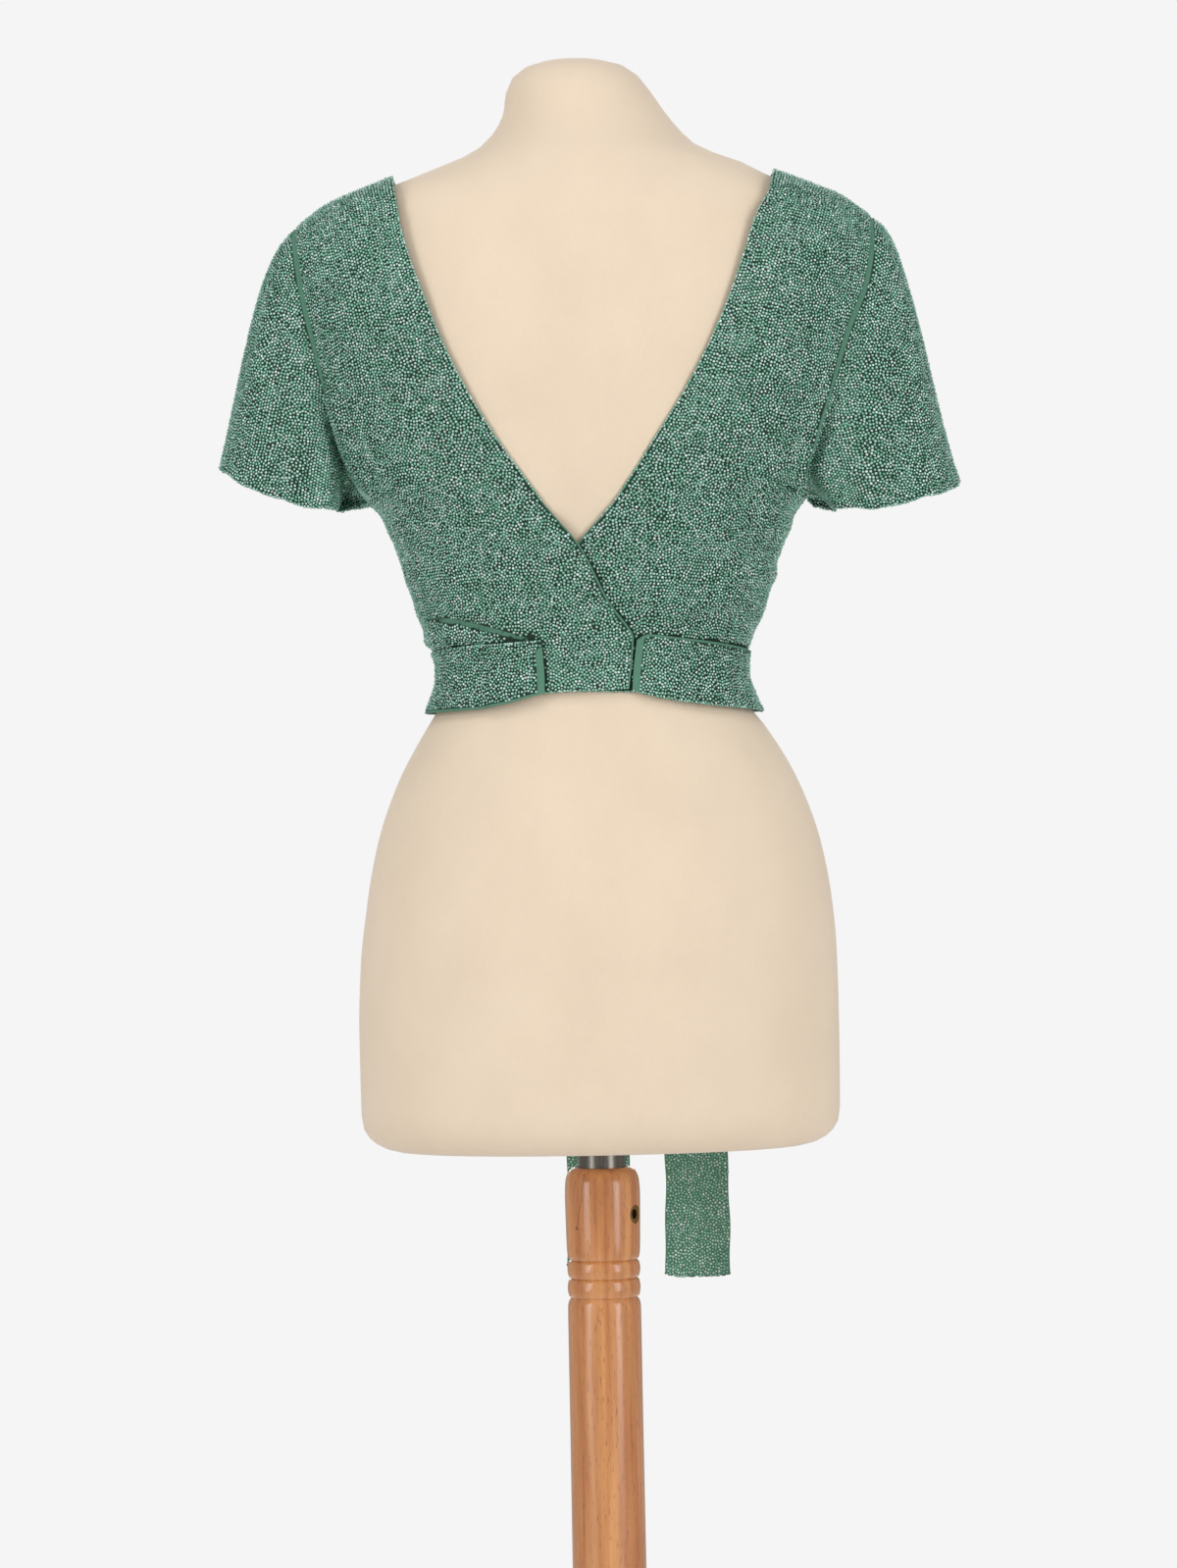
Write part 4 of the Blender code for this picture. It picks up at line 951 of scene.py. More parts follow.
def front_panel():
    """The front, whose halves join below the neckline."""
    lows, highs, rooms, faces, hems, number = [], [], [], [], [], {}
    joined = ROWS <= NECKLINE_ROW
    for side in (-1, 1):
        creases = FRONT_CREASES[side] + SIDE_CREASES[side]
        low, high = panel_grid("front", side, FRONT_COLUMNS, creases)
        room = panel_room(high, side, high[~joined, -1], BARE_NECKLINE).reshape(high.shape[:2])
        hems.append((high[0], high[1], low[0]))
        hems.append((high[~joined, -1], high[~joined, -2], low[~joined, -1]))
        index = np.empty(high.shape[:2], int)
        for r in range(len(ROWS)):
            for c in range(FRONT_COLUMNS + 1):
                key = (r, c, 0 if c == FRONT_COLUMNS and joined[r] else side)
                if key not in number:
                    number[key] = len(lows)
                    lows.append(low[r, c])
                    highs.append(high[r, c])
                    rooms.append(room[r, c])
                index[r, c] = number[key]
        made = index.ravel()[grid_quads(len(ROWS) - 1, FRONT_COLUMNS)]
        faces.append(made if side > 0 else made[:, ::-1])
    quads = np.concatenate(faces)
    highs = np.array(highs)
    hidden = under_ties(highs)
    return Cloth("front_cloth", np.array(lows), highs, quads, np.array(rooms), hidden, hems)


def armhole_loop(side):
    """Points and directions of the armhole's edge, from the shoulder down the back and up."""
    down = [row for row in reversed(ROWS) if row >= UNDERARM_ROW]
    path = [(row, False) for row in down[:-1]] + [(row, True) for row in reversed(down[1:])]
    places = []
    for row, in_front in path:
        angle, z = outer_edge(row, side, in_front)
        if row in (UNDERARM_ROW, SHOULDER_ROW):
            angle = side * math.pi / 2
        places.append((angle, z))
    angle, z = np.array(places).T
    normals = body_normal(angle, z)
    low = body_point(angle, z)
    high = low + normals * CLOTH_WALL
    middle = (low + high) / 2
    along = np.roll(middle, -1, 0) - np.roll(middle, 1, 0)
    away = unit(np.cross(along, normals))
    return low, high, middle, normals, away * np.sign(side * away[0][0])


def cuff_point(cuff, turn):
    """Points of the cuff's edge: turn is 0 at its outermost point, a quarter at the back."""
    share = (1 + np.cos(turn)) / 2
    x = cuff.inner_x + (cuff.outer_x - cuff.inner_x) * share
    y = -cuff.half_depth * np.sin(turn)
    z = cuff.inner_z + (cuff.outer_z - cuff.inner_z) * share
    z = z - cuff.sag * np.sin(math.pi * share)
    rise = CUFF_FRONT_RISE * ((1 - np.sin(turn)) / 2) ** 2
    waves = np.sin(HEM_WAVES[0] * turn + cuff.side) + SECOND_WAVE * np.sin(HEM_WAVES[1] * turn)
    rise = rise + HEM_WAVE * waves
    return np.stack((cuff.side * x * MM, CUFF_Y + y * MM, z * MM + rise), -1)


def sleeve_fold(side, turn, share):
    """How far the sleeve's folds bring its wall out, at its turns and a share of its length."""
    found = 0.0 * turn
    for fold in SLEEVE_FOLDS:
        if fold.side == side:
            grown = smoothstep((share - fold.start) / (fold.deepest - fold.start))
            left = 1 - smoothstep((share - fold.deepest) / (fold.finish - fold.deepest))
            away = (np.degrees(turn) - fold.middle + 180) % 360 - 180
            found += fold.depth * MM * grown * left * bell(away, fold.half_width)
    return found


def sleeve_middle(cuff, loop):
    """The middle of the sleeve's wall, ring by ring from the armhole to the cuff."""
    _, _, middle, normals, away = loop
    count = len(middle)
    steps = np.linalg.norm(np.roll(middle, -1, 0) - middle, axis=1)
    run = np.concatenate(([0.0], np.cumsum(steps)))
    half, whole = run[count // 2], run[-1]
    run = run[:-1]
    turn = np.where(run <= half, math.pi * run / half, math.pi * (1 + (run - half) / (whole - half)))
    end = cuff_point(cuff, turn)
    top = ((1 + np.cos(turn)) / 2) ** CAP_POWER
    reach = UNDERARM_REACH + (CAP_REACH - UNDERARM_REACH) * top
    leave = unit(away + normals * CAP_PUFF) * reach[:, None]
    drop = end - middle
    leave[:, 1] += (CAP_FORWARD * drop[:, 1] - leave[:, 1]) * top
    leave[:, 2] *= 1 - UNDERARM_LEVEL * ((1 - np.cos(turn)) / 2) ** UNDERARM_POWER
    arrive = drop * (1 - CUFF_SLACK * top)[:, None]
    arrive[:, 0] += cuff.side * cuff.lean * MM * top - drop[:, 0] * CUFF_UPRIGHT * top
    start = middle + away * SEAM_GAP
    ends = (cuff_point(cuff, 0.0) + cuff_point(cuff, math.pi)) / 2
    rings = []
    for s in np.linspace(0, 1, SLEEVE_RINGS + 1):
        point = (2 * s**3 - 3 * s**2 + 1) * start + (3 * s**2 - 2 * s**3) * end
        point = point + (s**3 - 2 * s**2 + s) * leave + (s**3 - s**2) * arrive
        outwards = point - (middle.mean(0) * (1 - s) + ends * s)
        outwards *= (FOLD_SIDEWAYS, 1.0, 0.0)
        fold = sleeve_fold(cuff.side, turn, s)
        rings.append(point + unit(outwards) * fold[:, None])
    return np.array(rings)


def sleeve(name, cuff):
    """A short sleeve, from its armhole's edge out to its cuff."""
    loop = armhole_loop(cuff.side)
    low, high, _, _, away = loop
    rings = sleeve_middle(cuff, loop)
    down = np.gradient(rings, axis=0)
    round_it = np.roll(rings, -1, 1) - np.roll(rings, 1, 1)
    normals = unit(np.cross(round_it, down))
    if normals[SLEEVE_RINGS // 2, 0][0] * cuff.side < 0:
        normals = -normals
    inner = rings - normals * PANEL_LAYER / 2
    outer = inner + normals * CLOTH_WALL
    inner[0] = low + away * SEAM_GAP
    outer[0] = high + away * SEAM_GAP
    count = rings.shape[1]
    closed = np.concatenate((outer, outer[:, :1]), 1)
    half = count // 2 + 1
    edges = [
        (closed[0, :half][::-1], BARE_ARMHOLES[cuff.side]),
        (closed[0, half - 1 :], BARE_ARMHOLES[cuff.side]),
        (closed[-1], BARE_HEM),
    ]
    quads = grid_quads(SLEEVE_RINGS, count, wrap=True)
    room = edge_room(outer, edges)
    hems = [(closed[-1], closed[-2], np.concatenate((inner[-1], inner[-1, :1])))]
    return Cloth(name, inner.reshape(-1, 3), outer.reshape(-1, 3), quads, room, hems=hems)


def tie_band(name, table, lifted):
    """A tie laid over the panels from the back round to the knot. The left one is lifted where it
    lies over the wrap, and its bare edge is the lower one."""
    rows = len(table) - 1
    curves = {key: Smooth(range(rows + 1), [getattr(r, key) for r in table]) for key in TieRow._fields}
    place = np.linspace(0, rows, TIE_STEPS + 1)[:, None]
    share = np.linspace(0, 1, TIE_COLUMNS + 1)[None, :]
    turn = np.radians(curves["angle"](place) - curves["lean"](place) * (1 - share))
    bottom, top = curves["bottom"](place), curves["top"](place)
    z = (bottom + (top - bottom) * share) * MM
    base, normal = body_point(turn, z), body_normal(turn, z)
    offset = PANEL_LAYER + LAYER_GAP + curves["rise"](place) * MM + 0.0 * z
    if lifted:
        offset = offset + np.where(np.cos(turn) > 0, wrap_lift(base[..., 0], z), 0.0)
    low = base + normal * offset[..., None]
    high = base + normal * (offset + TIE_WALL)[..., None]
    edges = [
        (high[0, : -TIE_TUCK if lifted else None], BARE_TIE_START),
        (high[:, 0], BARE_TIE_EDGE if lifted else BARE_HEM),
        (high[:, -1], BARE_HEM if lifted else BARE_TIE_EDGE),
        (high[-1], BARE_SEAM),
    ]
    quads = grid_quads(TIE_STEPS, TIE_COLUMNS)
    room = edge_room(high, edges)
    hem, inside = (-1, -2) if lifted else (0, 1)
    hems = [(high[:, hem], high[:, inside], low[:, hem])]
    return Cloth(name, low.reshape(-1, 3), high.reshape(-1, 3), quads, room, hems=hems)


def form_front(x, z):
    """The y of the form's front at x and z, without the bust."""
    half_width, _, front, side, squareness, shift = section_sizes(z, False)
    share = np.minimum(np.abs(x - shift) / half_width, FRONT_REACH)
    return side + (front - side) * (1 - share**squareness) ** (1 / squareness)


def knot_middle():
    """The y of the knot's middle, whose back lies on the front's cloth."""
    near_x = KNOT_X - KNOT_HALF_WIDTH
    heights = np.array((KNOT_Z + KNOT_HALF_HEIGHT, KNOT_Z - KNOT_HALF_HEIGHT))
    back_y = body_point(angle_at(near_x, heights, True), heights)[:, 1].max()
    return back_y + PANEL_LAYER + LAYER_GAP + KNOT_HALF_DEPTH


def hanging_end(name, table):
    """A tie's free end, which lies on the form's front and hangs straight below its belly."""
    shape = columns(table)
    top, foot = table[0].z * MM, table[-1].z * MM
    z = np.linspace(top, foot, END_STEPS + 1)[:, None]
    share = np.linspace(-1, 1, END_COLUMNS + 1)[None, :]
    x = shape["middle"](z) + shape["half_width"](z) * share
    slow, quick = END_SWAYS
    x = x + END_SWAY * (np.sin(z * slow + share) + np.sin(z * quick + 2 * share))
    cut = END_CUT * np.abs(share) ** 4 + END_SWAY * np.sin(3 * share + z)
    z = z + cut * smoothstep(1 - (z - foot) / END_CUT_RISE)
    y = form_front(x, np.maximum(z, BELLY_HEIGHT)) + shape["lift"](z)
    tied = knot_middle() - END_MIDDLE
    y = y + (tied - y) * smoothstep((z - END_FREE) / (top - END_FREE)) + END_MIDDLE
    inner = np.stack((x, y - TIE_WALL / 2, z), -1)
    outer = np.stack((x, y + TIE_WALL / 2, z), -1)
    edges = [(outer[:, 0], BARE_BINDING), (outer[:, -1], BARE_BINDING), (outer[-1], BARE_HEM)]
    quads = grid_quads(END_STEPS, END_COLUMNS)
    room = edge_room(outer, edges)
    hems = [(outer[-1], outer[-2], inner[-1])]
    low, high = inner.reshape(-1, 3), outer.reshape(-1, 3)
    return Cloth(name, low, high, quads, room, hems=hems, both_faces=True)


def lofted(name, rings, top, bottom):
    """A solid through rings with as many points each, closed by a point at either end."""
    rings = np.asarray(rings)
    levels, count = rings.shape[:2]
    points = np.concatenate((rings.reshape(-1, 3), [bottom, top]))
    quads = grid_quads(levels - 1, count, wrap=True)
    each = np.arange(count)
    after = (each + 1) % count
    last = (levels - 1) * count
    foot, head = np.full(count, levels * count), np.full(count, levels * count + 1)
    caps = np.concatenate(
        (np.stack((foot, after, each), 1), np.stack((head, last + each, last + after), 1))
    )
    obj = mesh_object(name, points, quads, caps)
    face_outwards(obj)
    return obj


def knot_rings():
    """The half knot: a pad as thick as its folds, with the crossing band raised across it."""
    middle_y = knot_middle()
    height = np.linspace(-1, 1, KNOT_RINGS + 1)[:, None]
    size = (1 - KNOT_TAPER * np.abs(height) ** KNOT_TAPER_POWER) ** 0.5
    turn = 2 * math.pi * np.arange(KNOT_SIDES)[None, :] / KNOT_SIDES
    across, out = np.cos(turn), np.sin(turn)
    band = np.where(out > 0, bell(height - BAND_SLANT * across, BAND_WIDTH), 0.0)
    width = np.copysign(np.abs(across) ** KNOT_SQUARE_ACROSS, across)
    x = KNOT_X + KNOT_HALF_WIDTH * size * width
    depth = KNOT_HALF_DEPTH * size * np.copysign(np.abs(out) ** KNOT_SQUARE_OUT, out)
    y = middle_y + depth + BAND_RISE * band * np.maximum(out, 0.0)
    return np.stack((x, y, KNOT_Z + KNOT_HALF_HEIGHT * height + 0.0 * x), -1)


class Value:
    """A shader socket that sums, products and the like can be written with."""

    def __init__(self, tree, socket):
        self.tree, self.socket = tree, socket

    def maths(self, operation, *values):
        made = self.tree.nodes.new("ShaderNodeMath")
        made.operation = operation
        for place, value in enumerate(values):
            if isinstance(value, Value):
                self.tree.links.new(value.socket, made.inputs[place])
            else:
                made.inputs[place].default_value = value
        return Value(self.tree, made.outputs[0])

    def __add__(self, other):
        return self.maths("ADD", self, other)

    def __sub__(self, other):
        return self.maths("SUBTRACT", self, other)

    def __rsub__(self, other):
        return self.maths("SUBTRACT", other, self)

    def __mul__(self, other):
        return self.maths("MULTIPLY", self, other)

    def clamp(self):
        made = self.maths("ADD", self, 0.0)
        made.socket.node.use_clamp = True
        return made


class Finish:
    """A material's nodes, made by type, settings and sockets."""

    def __init__(self, name, **sockets):
        self.material = bpy.data.materials.new(name)
        self.material.use_nodes = True
        self.tree = self.material.node_tree
        self.shader = self.tree.nodes["Principled BSDF"]
        for socket, value in sockets.items():
            self.feed(socket.replace("_", " "), value)

    def node(self, kind, settings=None, output=0, **sockets):
        made = self.tree.nodes.new("ShaderNode" + kind)
        for name, value in (settings or {}).items():
            if name == "stops":
                ramp_stops(made.color_ramp, value)
            else:
                setattr(made, name, value)
        for name, value in sockets.items():
            self.plug(made.inputs[name.replace("_", " ")], value)
        return Value(self.tree, made.outputs[output])

    def plug(self, socket, value):
        if isinstance(value, Value):
            self.tree.links.new(value.socket, socket)
        else:
            socket.default_value = value

    def feed(self, socket, value):
        self.plug(self.shader.inputs[socket], value)

    def mix(self, share, first, second):
        made = self.tree.nodes.new("ShaderNodeMix")
        made.data_type = "RGBA"
        for name, value in (("Factor", share), ("A", first), ("B", second)):
            socket = next(s for s in made.inputs if s.name == name and s.enabled)
            self.plug(socket, value)
        return Value(self.tree, next(s for s in made.outputs if s.enabled))

    def attribute(self, name):
        return self.node("Attribute", {"attribute_name": name}, output=2)

    def place(self, scale):
        """Object coordinates, stretched."""
        mapping = self.tree.nodes.new("ShaderNodeMapping")
        coordinates = self.tree.nodes.new("ShaderNodeTexCoord")
        self.tree.links.new(coordinates.outputs["Object"], mapping.inputs["Vector"])
        mapping.inputs["Scale"].default_value = scale
        return Value(self.tree, mapping.outputs[0])

    def bump(self, height, strength, distance):
        self.feed("Normal", self.node("Bump", Height=height, Strength=strength, Distance=distance))


def ramp_stops(ramp, stops):
    while len(ramp.elements) > 1:
        ramp.elements.remove(ramp.elements[-1])
    for k, (place, colour) in enumerate(stops):
        stop = ramp.elements[0] if k == 0 else ramp.elements.new(place)
        stop.position = place
        stop.color = colour


def rgb(red, green, blue):
    """A linear colour, with its alpha, from screen values of 0 to 255."""
    parts = np.array((red, green, blue)) / 255
    linear = np.where(parts <= 0.04045, parts / 12.92, ((parts + 0.055) / 1.055) ** 2.4)
    return (*(float(part) for part in linear), 1.0)


def bead_finish():
    """Green glass with a mint or silver lining, with painted shade darkening each bead's rim where it
    meets its neighbours.
    """
    made = Finish("glass_beads", Roughness=0.3, IOR=1.52, Metallic=0.3)
    stops = [
        (0.0, rgb(112, 180, 150)),
        (0.35, rgb(142, 204, 180)),
        (0.65, rgb(170, 216, 200)),
        (0.88, rgb(192, 224, 214)),
        (0.94, rgb(196, 220, 206)),
        (0.97, rgb(222, 248, 240)),
    ]
    lining = made.node("ValToRGB", {"stops": stops}, Fac=made.attribute("shade"))
    # Painted shade: the colour turns dark green from the crown out to the rim, standing in for the shade
    # between touching beads.
    rim = (1.4 - made.attribute("crown") * 3.2).clamp()
    made.feed("Base Color", made.mix(rim, lining, rgb(14, 46, 32)))
    return made.material


def cloth_finish():
    """Fine pale green cloth, bare along its seams, with painted shade making it dark in the gaps between
    beads.
    """
    made = Finish("green_cloth", Roughness=0.8)
    # Painted shade: away from the bare lines the cloth is coloured near black green, standing in for the
    # shade between the beads.
    painted_gap_shade = (made.attribute("clear") * 1400.0 - 0.1).clamp()
    grain = made.node("TexNoise", Vector=made.place((1, 1, 1)), Scale=2600.0, Detail=2.0)
    bare = made.mix(grain, rgb(68, 116, 94), rgb(98, 148, 125))
    made.feed("Base Color", made.mix(painted_gap_shade, bare, rgb(18, 46, 33)))
    made.bump(grain, 0.4, 0.0004)
    return made.material


def jersey_finish():
    """Cream cotton jersey: fine upright wales, a little uneven in colour."""
    made = Finish("cream_jersey", Roughness=0.9, Sheen_Weight=0.25, Sheen_Roughness=0.5)
    wales = made.node("TexNoise", Vector=made.place((1, 1, 0.25)), Scale=1500.0, Detail=3.0)
    cloud = made.node("TexNoise", Vector=made.place((1, 1, 0.7)), Scale=21.0, Detail=4.0)
    tone = (wales * 0.5 + (cloud - 0.5) * 0.75 + 0.25).clamp()
    made.feed("Base Color", made.mix(tone, rgb(226, 205, 180), rgb(241, 222, 197)))
    made.bump(wales, 0.35, 0.0006)
    return made.material


def beech_finish(name, stretch, coat, vein=False):
    """Varnished beech: long grain, reddish streaks and short darker flecks."""
    made = Finish(name, Roughness=0.34, IOR=1.5, Coat_Weight=coat, Coat_Roughness=0.16)
    long_grain = tuple(0.05 if part else 1.0 for part in stretch)
    short_grain = tuple(0.16 if part else 1.0 for part in stretch)
    grain = made.node("TexNoise", Vector=made.place(long_grain), Scale=230.0, Detail=5.0)
    streaks = made.node("TexNoise", Vector=made.place(long_grain), Scale=60.0, Detail=2.0)
    flecks = made.node("TexNoise", Vector=made.place(short_grain), Scale=900.0, Detail=2.0)
    flecks = ((flecks - 0.6) * 9.0).clamp()
    tone = (grain * 0.6 + ((streaks - 0.5) * 2.4 + 0.5).clamp() * 0.4).clamp()
    tone = ((tone - 0.5) * 1.9 + 0.5).clamp()
    body = made.mix(tone, rgb(170, 97, 46), rgb(224, 160, 102))
    marks = flecks * 0.5
    if vein:
        marks = marks + wood_vein(made)
    made.feed("Base Color", made.mix(marks.clamp(), body, rgb(128, 68, 36)))
    made.bump(grain - flecks * 0.5, 0.12, 0.0006)
    return made.material


def wood_vein(made):
    """A thin dark vein that slants down the pole's head and ends in a pin knot."""
    place = made.place((1, 1, 1))
    split = made.tree.nodes.new("ShaderNodeSeparateXYZ")
    made.tree.links.new(place.socket, split.inputs[0])
    x, y, z = (Value(made.tree, output) for output in split.outputs)
    course = x - VEIN_FOOT[0] - (z - VEIN_FOOT[1]) * VEIN_SLANT
    line = (1 - course.maths("ABSOLUTE", course) * (1 / VEIN_WIDTH)).clamp()
    above = ((z - VEIN_FOOT[1]) * 900.0).clamp() * ((VEIN_HEAD - z) * 400.0).clamp()
    across = (x - VEIN_FOOT[0]) * (x - VEIN_FOOT[0]) + (z - VEIN_FOOT[1]) * (z - VEIN_FOOT[1])
    pin = (1 - across * (1 / VEIN_KNOT**2)).clamp() * 1.4
    behind = (y * -900.0).clamp()
    return (line * above * 0.7 + pin) * behind


def metal_finish(name, dark, light, stretch, scale):
    """Worn bare metal with long faint marks."""
    made = Finish(name, Metallic=1.0)
    marks = made.node("TexNoise", Vector=made.place(stretch), Scale=scale, Detail=4.0)
    made.feed("Base Color", made.mix(marks, dark, light))
    made.feed("Roughness", marks * 0.2 + 0.2)
    return made.material


def turned_piece(name, profile, finish, body):
    """A piece turned from its profile of radius and height, which starts at its foot."""
    bpy.ops.object.select_all(action="DESELECT")
    first = profile[0]
    bpy.ops.mesh.primitive_circle_add(
        vertices=TURNED_SIDES, radius=first[0], fill_type="NGON", location=(0, 0, first[1])
    )
    obj = bpy.context.object
    obj.name = name
    obj.data.name = name
    bpy.ops.object.mode_set(mode="EDIT")
    bpy.ops.mesh.select_all(action="SELECT")
    for low, high in zip(profile, profile[1:], strict=False):
        rise = {"value": (0, 0, high[1] - low[1])}
        bpy.ops.mesh.extrude_region_move(TRANSFORM_OT_translate=rise)
        wider = high[0] / low[0]
        centre = (0, 0, high[1])
        bpy.ops.transform.resize(value=(wider, wider, 1), center_override=centre)
    bpy.ops.mesh.select_all(action="SELECT")
    bpy.ops.mesh.normals_make_consistent(inside=False)
    bpy.ops.object.mode_set(mode="OBJECT")
    bpy.ops.object.transform_apply(location=True, rotation=True, scale=True)
    obj.data.materials.append(finish)
    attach(obj, body)
    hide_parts(name.replace("_turned", ""))
    return obj


def fine_profile(points):
    """The profile with rounded stretches between its points, read at short steps."""
    points = np.asarray(points, float) * MM
    run = np.concatenate(([0.0], np.cumsum(np.linalg.norm(np.diff(points, axis=0), axis=1))))
    radius, height = Smooth(run, points[:, 0]), Smooth(run, points[:, 1])
    found = []
    for low, high in zip(run, run[1:], strict=False):
        long_straight = high - low > STRAIGHT
        count = 1 if long_straight else max(1, math.ceil((high - low) / PROFILE_STEP))
        found += list(np.linspace(low, high, count + 1)[:-1])
    found.append(run[-1])
    return [(float(radius(place)), float(height(place))) for place in found]


def soften(obj):
    """Smooth shading that keeps the sharp edges of turned work."""
    select_only(obj)
    bpy.ops.object.shade_smooth_by_angle(angle=STAND_SHARP)


def stand():
    """The turned base, pole and tube, and the metals of the threaded insert and its screw."""
    upright = beech_finish("varnished_beech", (0, 0, 1), 0.6, vein=True)
    level = beech_finish("varnished_beech_base", (1, 0, 0), 0.2)
    steel = metal_finish("brushed_steel", rgb(84, 81, 76), rgb(146, 141, 132), (1, 1, 0.04), 900.0)
    brass = metal_finish("dull_brass", rgb(120, 92, 50), rgb(176, 142, 84), (1, 1, 1), 500.0)
    base = turned_piece("stand_base_turned", fine_profile(BASE_PROFILE), level, "stand")
    soften(base)
    pole = turned_piece("stand_pole_turned", fine_profile(POLE_PROFILE), upright, "stand")
    bpy.ops.object.select_all(action="DESELECT")
    out = np.array((math.sin(INSERT_TURN), -math.cos(INSERT_TURN), 0.0))
    bpy.ops.mesh.primitive_cylinder_add(
        vertices=INSERT_SIDES,
        radius=INSERT_HOLE,
        depth=HOLE_LENGTH,
        location=out * HOLE_MIDDLE + (0, 0, INSERT_HEIGHT),
        rotation=(math.pi / 2, 0, INSERT_TURN),
    )
    drill = bpy.context.object
    modifier = pole.modifiers.new("insert_hole", "BOOLEAN")
    modifier.object = drill
    modifier.operation = "DIFFERENCE"
    select_only(pole)
    bpy.ops.object.modifier_apply(modifier=modifier.name)
    bpy.data.objects.remove(drill)
    soften(pole)
    tube = [(radius * MM, height * MM) for radius, height in MAST_PROFILE]
    mast = turned_piece("stand_mast_turned", tube, steel, "mast")
    soften(mast)
    for node, metal in (("stand_insert", brass), ("stand_set_screw", steel)):
        bpy.data.objects[node].material_slots[0].material = metal


def tied_knot(finish, draws):
    """The half knot and its beads."""
    rings = knot_rings()
    middle = knot_middle()
    top = (KNOT_X, middle, KNOT_Z + KNOT_HALF_HEIGHT)
    bottom = (KNOT_X, middle, KNOT_Z - KNOT_HALF_HEIGHT)
    knot = lofted("tie_knot_cloth", rings, top, bottom)
    knot.data.materials.append(finish["cloth"])
    flat = rings.reshape(-1, 3)
    set_attribute(knot, "clear", np.full(len(flat) + 2, ALL_CLEAR))
    quads = grid_quads(KNOT_RINGS, KNOT_SIDES, wrap=True)
    places, normals = strewn_points(flat, quads, np.full(len(flat), ALL_CLEAR), KNOT_SEED)
    outward = np.sign(np.sum(normals * (places - (KNOT_X, middle, KNOT_Z)), 1, keepdims=True))
    beads = bead_mesh("tie_knot_beads", places, normals * outward, draws)
    beads.data.materials.append(finish["beads"])
    for piece in (knot, beads):
        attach(piece, "figure")
    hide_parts("tie_knot")
    return [knot, beads]


def dress_form(finish):
    """The limbless form, smooth, with its level sections close together."""
    heights = []
    places = [row.z * MM for row in TORSO_SECTIONS]
    for low, high in zip(places, places[1:], strict=False):
        heights += list(np.linspace(low, high, max(2, int((high - low) / TORSO_STEP)))[:-1])
    heights = np.array([*heights, places[-1]])[:, None]
    turns = np.linspace(0, 2 * math.pi, TORSO_SIDES + 1)[None, :-1]
    rings = body_point(turns, heights, cloth=False)
    socket = [SOCKET_RADIUS * np.sin(turns), -SOCKET_RADIUS * np.cos(turns)]
    bore = [np.stack((*socket, 0 * turns + z), -1) for z in (places[0] + SOCKET_DEPTH, places[0])]
    rings = np.concatenate((*bore, rings))
    obj = lofted("form_torso_cover", rings, TORSO_TOP, (0.0, 0.0, places[0] + SOCKET_DEPTH))
    obj.data.set_sharp_from_angle(angle=TORSO_SHARP)
    obj.data.materials.append(finish)
    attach(obj, "figure")
    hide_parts("form_torso")


def camera():
    """The photograph's camera."""
    lens = bpy.data.cameras.new("photo_camera")
    lens.sensor_fit = "VERTICAL"
    lens.sensor_height = FILM_HEIGHT
    lens.lens = LENS
    lens.clip_end = CLIP_END
    obj = bpy.data.objects.new("photo_camera", lens)
    obj.location = CAMERA_PLACE
    obj.rotation_euler = (math.pi / 2, CAMERA_ROLL, 0.0)
    bpy.context.scene.collection.objects.link(obj)
    bpy.context.scene.camera = obj


def soft_light(name, place, width, height, power):
    """An upright soft box that faces the figure."""
    lamp = bpy.data.lights.new(name, "AREA")
    lamp.shape = "RECTANGLE"
    lamp.size = width
    lamp.size_y = height
    lamp.energy = power
    obj = bpy.data.objects.new(name, lamp)
    obj.location = place
    bpy.context.scene.collection.objects.link(obj)
    aim = np.array(LIGHT_AIM) - np.array(place)
    obj.rotation_euler = (
        math.atan2(math.hypot(aim[0], aim[1]), -aim[2]),
        0.0,
        math.atan2(aim[1], aim[0]) - math.pi / 2,
    )


def studio():
    """Pale floor, pale surroundings and soft boxes."""
    world = bpy.data.worlds.new("studio")
    bpy.context.scene.world = world
    world.use_nodes = True
    nodes, links = world.node_tree.nodes, world.node_tree.links
    backdrop = nodes["Background"]
    backdrop.inputs["Color"].default_value = rgb(245, 245, 245)
    glow = nodes.new("ShaderNodeBackground")
    glow.inputs["Color"].default_value = (1.0, 1.0, 1.0, 1.0)
    glow.inputs["Strength"].default_value = SURROUNDINGS
    path = nodes.new("ShaderNodeLightPath")
    mix = nodes.new("ShaderNodeMixShader")
    links.new(path.outputs["Is Camera Ray"], mix.inputs[0])
    links.new(glow.outputs[0], mix.inputs[1])
    links.new(backdrop.outputs[0], mix.inputs[2])
    links.new(mix.outputs[0], nodes["World Output"].inputs["Surface"])
    bpy.ops.object.select_all(action="DESELECT")
    bpy.ops.mesh.primitive_circle_add(vertices=FLOOR_SIDES, radius=FLOOR_RADIUS, fill_type="NGON")
    floor = bpy.context.object
    floor.name = "studio_floor"
    paper = Finish("floor_paper", Roughness=0.9)
    paper.feed("Base Color", rgb(240, 240, 240))
    floor.data.materials.append(paper.material)
    for name, settings in SOFT_BOXES.items():
        soft_light(name, *settings)
    bpy.context.scene.view_settings.view_transform = "Standard"


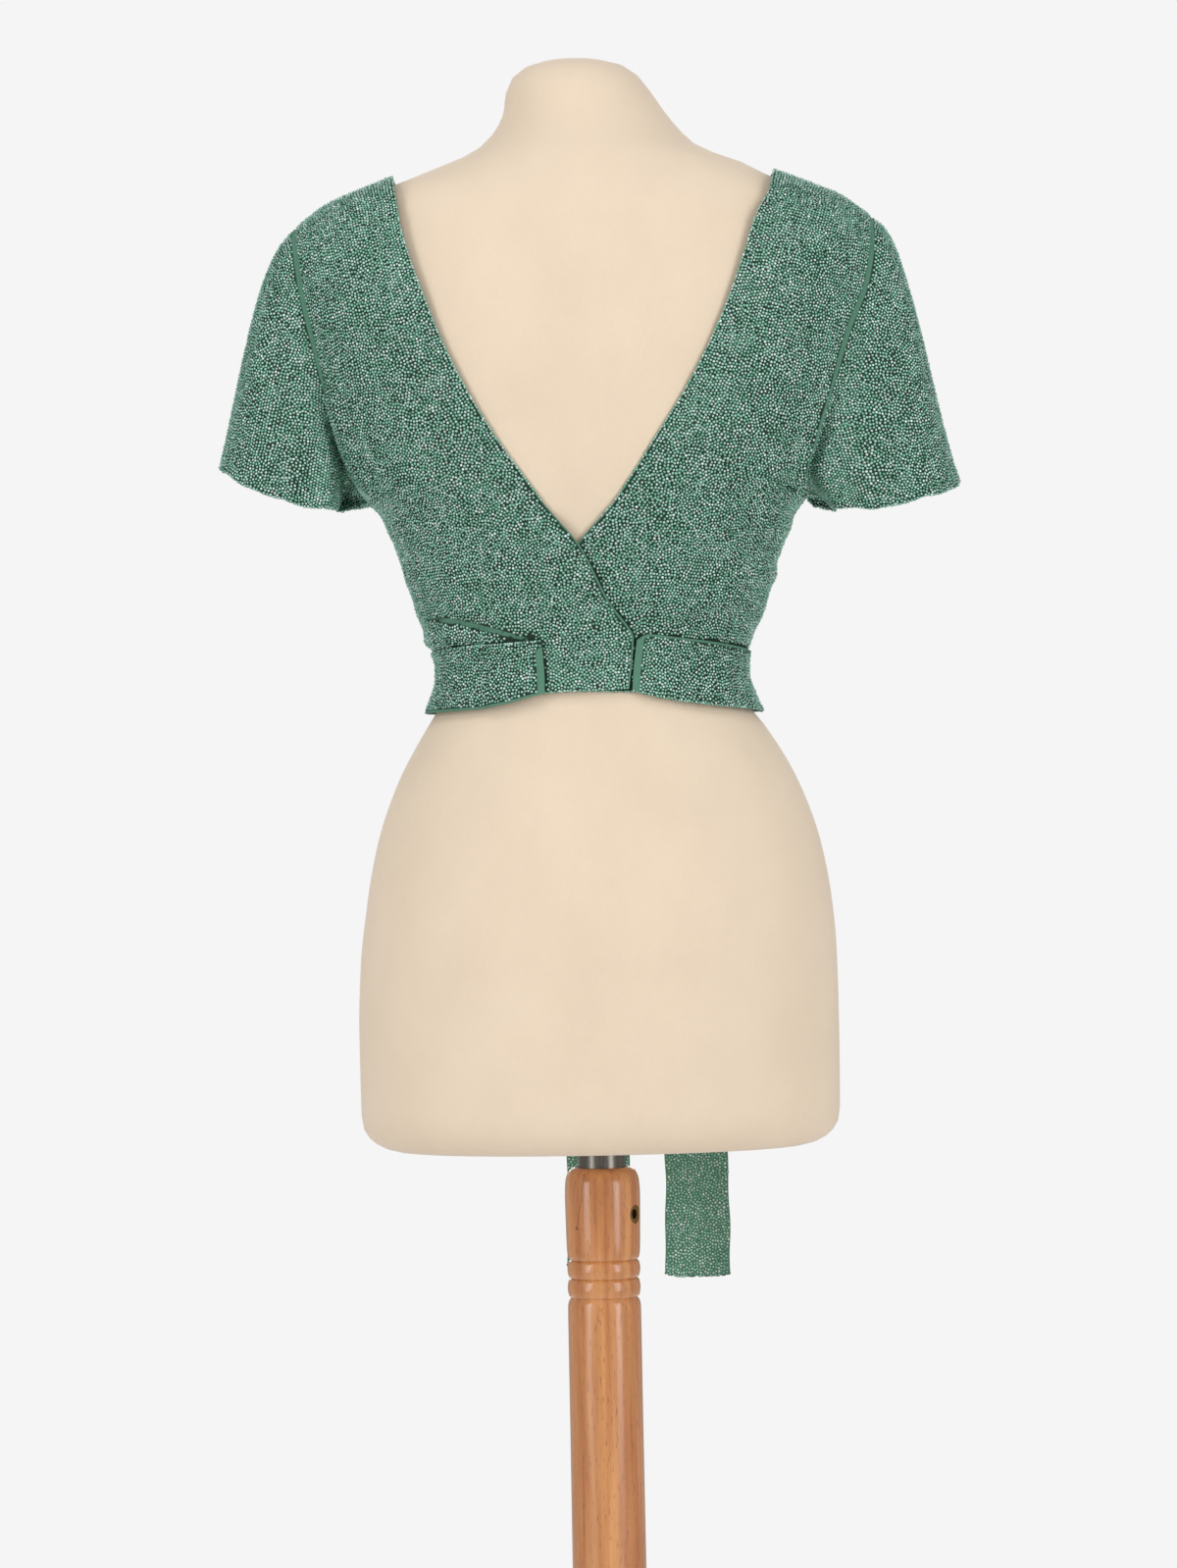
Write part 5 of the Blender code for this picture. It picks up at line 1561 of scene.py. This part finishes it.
def dress(cloth, node, finish, seed, knotted):
    """Gives a piece of cloth its beads, material and body, and hides the imported piece it replaces."""
    draws = np.random.default_rng(seed)
    cloth.shell.data.materials.append(finish["cloth"])
    places, normals = strewn_points(cloth.high, cloth.quads, cloth.room, seed)
    outward = outer_sign(cloth)
    groups = [(places, normals * outward)]
    if cloth.both_faces:
        back_places, back_normals = strewn_points(
            cloth.low, cloth.quads, cloth.room, seed + INNER_FACE_SEED
        )
        groups.append((back_places, -back_normals * outward))
    groups += [hem_beads(hem, draws) for hem in cloth.hems]
    places = np.concatenate([group[0] for group in groups])
    normals = np.concatenate([group[1] for group in groups])
    name = cloth.name.replace("_cloth", "")
    if node == "front":
        halves = [("_left", places[:, 0] < 0), ("_right", places[:, 0] >= 0)]
    else:
        halves = [("", np.full(len(places), True))]
    beads = []
    for end, chosen in halves:
        made = bead_mesh(name + "_beads" + end, places[chosen], normals[chosen], draws)
        made.data.materials.append(finish["beads"])
        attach(made, "figure")
        beads.append(made)
    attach(cloth.shell, "figure")
    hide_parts(node)
    beads + knotted


def outer_sign(cloth):
    """1 where the strewn normals point from the inner skin to the outer one, else -1."""
    corner = cloth.quads[len(cloth.quads) // 2]
    thickness = cloth.high[corner].mean(0) - cloth.low[corner].mean(0)
    first = cloth.high[corner[2]] - cloth.high[corner[0]]
    second = cloth.high[corner[3]] - cloth.high[corner[1]]
    return 1.0 if np.cross(first, second) @ thickness > 0 else -1.0


def pieces():
    """Each piece of cloth with its node, its flat cut's width, length and area, and how it is held."""
    return [
        (back_panel("left", -1), "back_left", (0.25, 0.39), 0.0545, "stretched"),
        (back_panel("right", 1), "back_right", (0.26, 0.39), 0.0562, "stretched"),
        (front_panel(), "front", (0.52, 0.4), 0.135, "stretched"),
        (sleeve("sleeve_left_cloth", CUFFS[0]), "sleeve_left", (0.36, 0.17), 0.0335, "hung"),
        (sleeve("sleeve_right_cloth", CUFFS[1]), "sleeve_right", (0.36, 0.17), 0.0354, "hung"),
        (tie_band("tie_left_cloth", TIE_LEFT, True), "tie_left", (0.047, 0.277), 0.0124, "stretched"),
        (tie_band("tie_right_cloth", TIE_RIGHT, False), "tie_right", (0.047, 0.22), 0.0099, "stretched"),
        (hanging_end("tie_end_left_cloth", END_LEFT), "tie_end_left", (0.047, 0.41), 0.0179, "hung"),
        (hanging_end("tie_end_right_cloth", END_RIGHT), "tie_end_right", (0.047, 0.42), 0.0189, "hung"),
    ]


def main():
    camera()
    studio()
    finish = {"cloth": cloth_finish(), "beads": bead_finish()}
    dress_form(jersey_finish())
    stand()
    knot = tied_knot(finish, np.random.default_rng(KNOT_SEED))
    for number, (cloth, node, flat, area, held) in enumerate(pieces(), start=1):
        knotted = knot if node == "tie_right" else []
        dress(cloth, node, finish, number, knotted)


main()
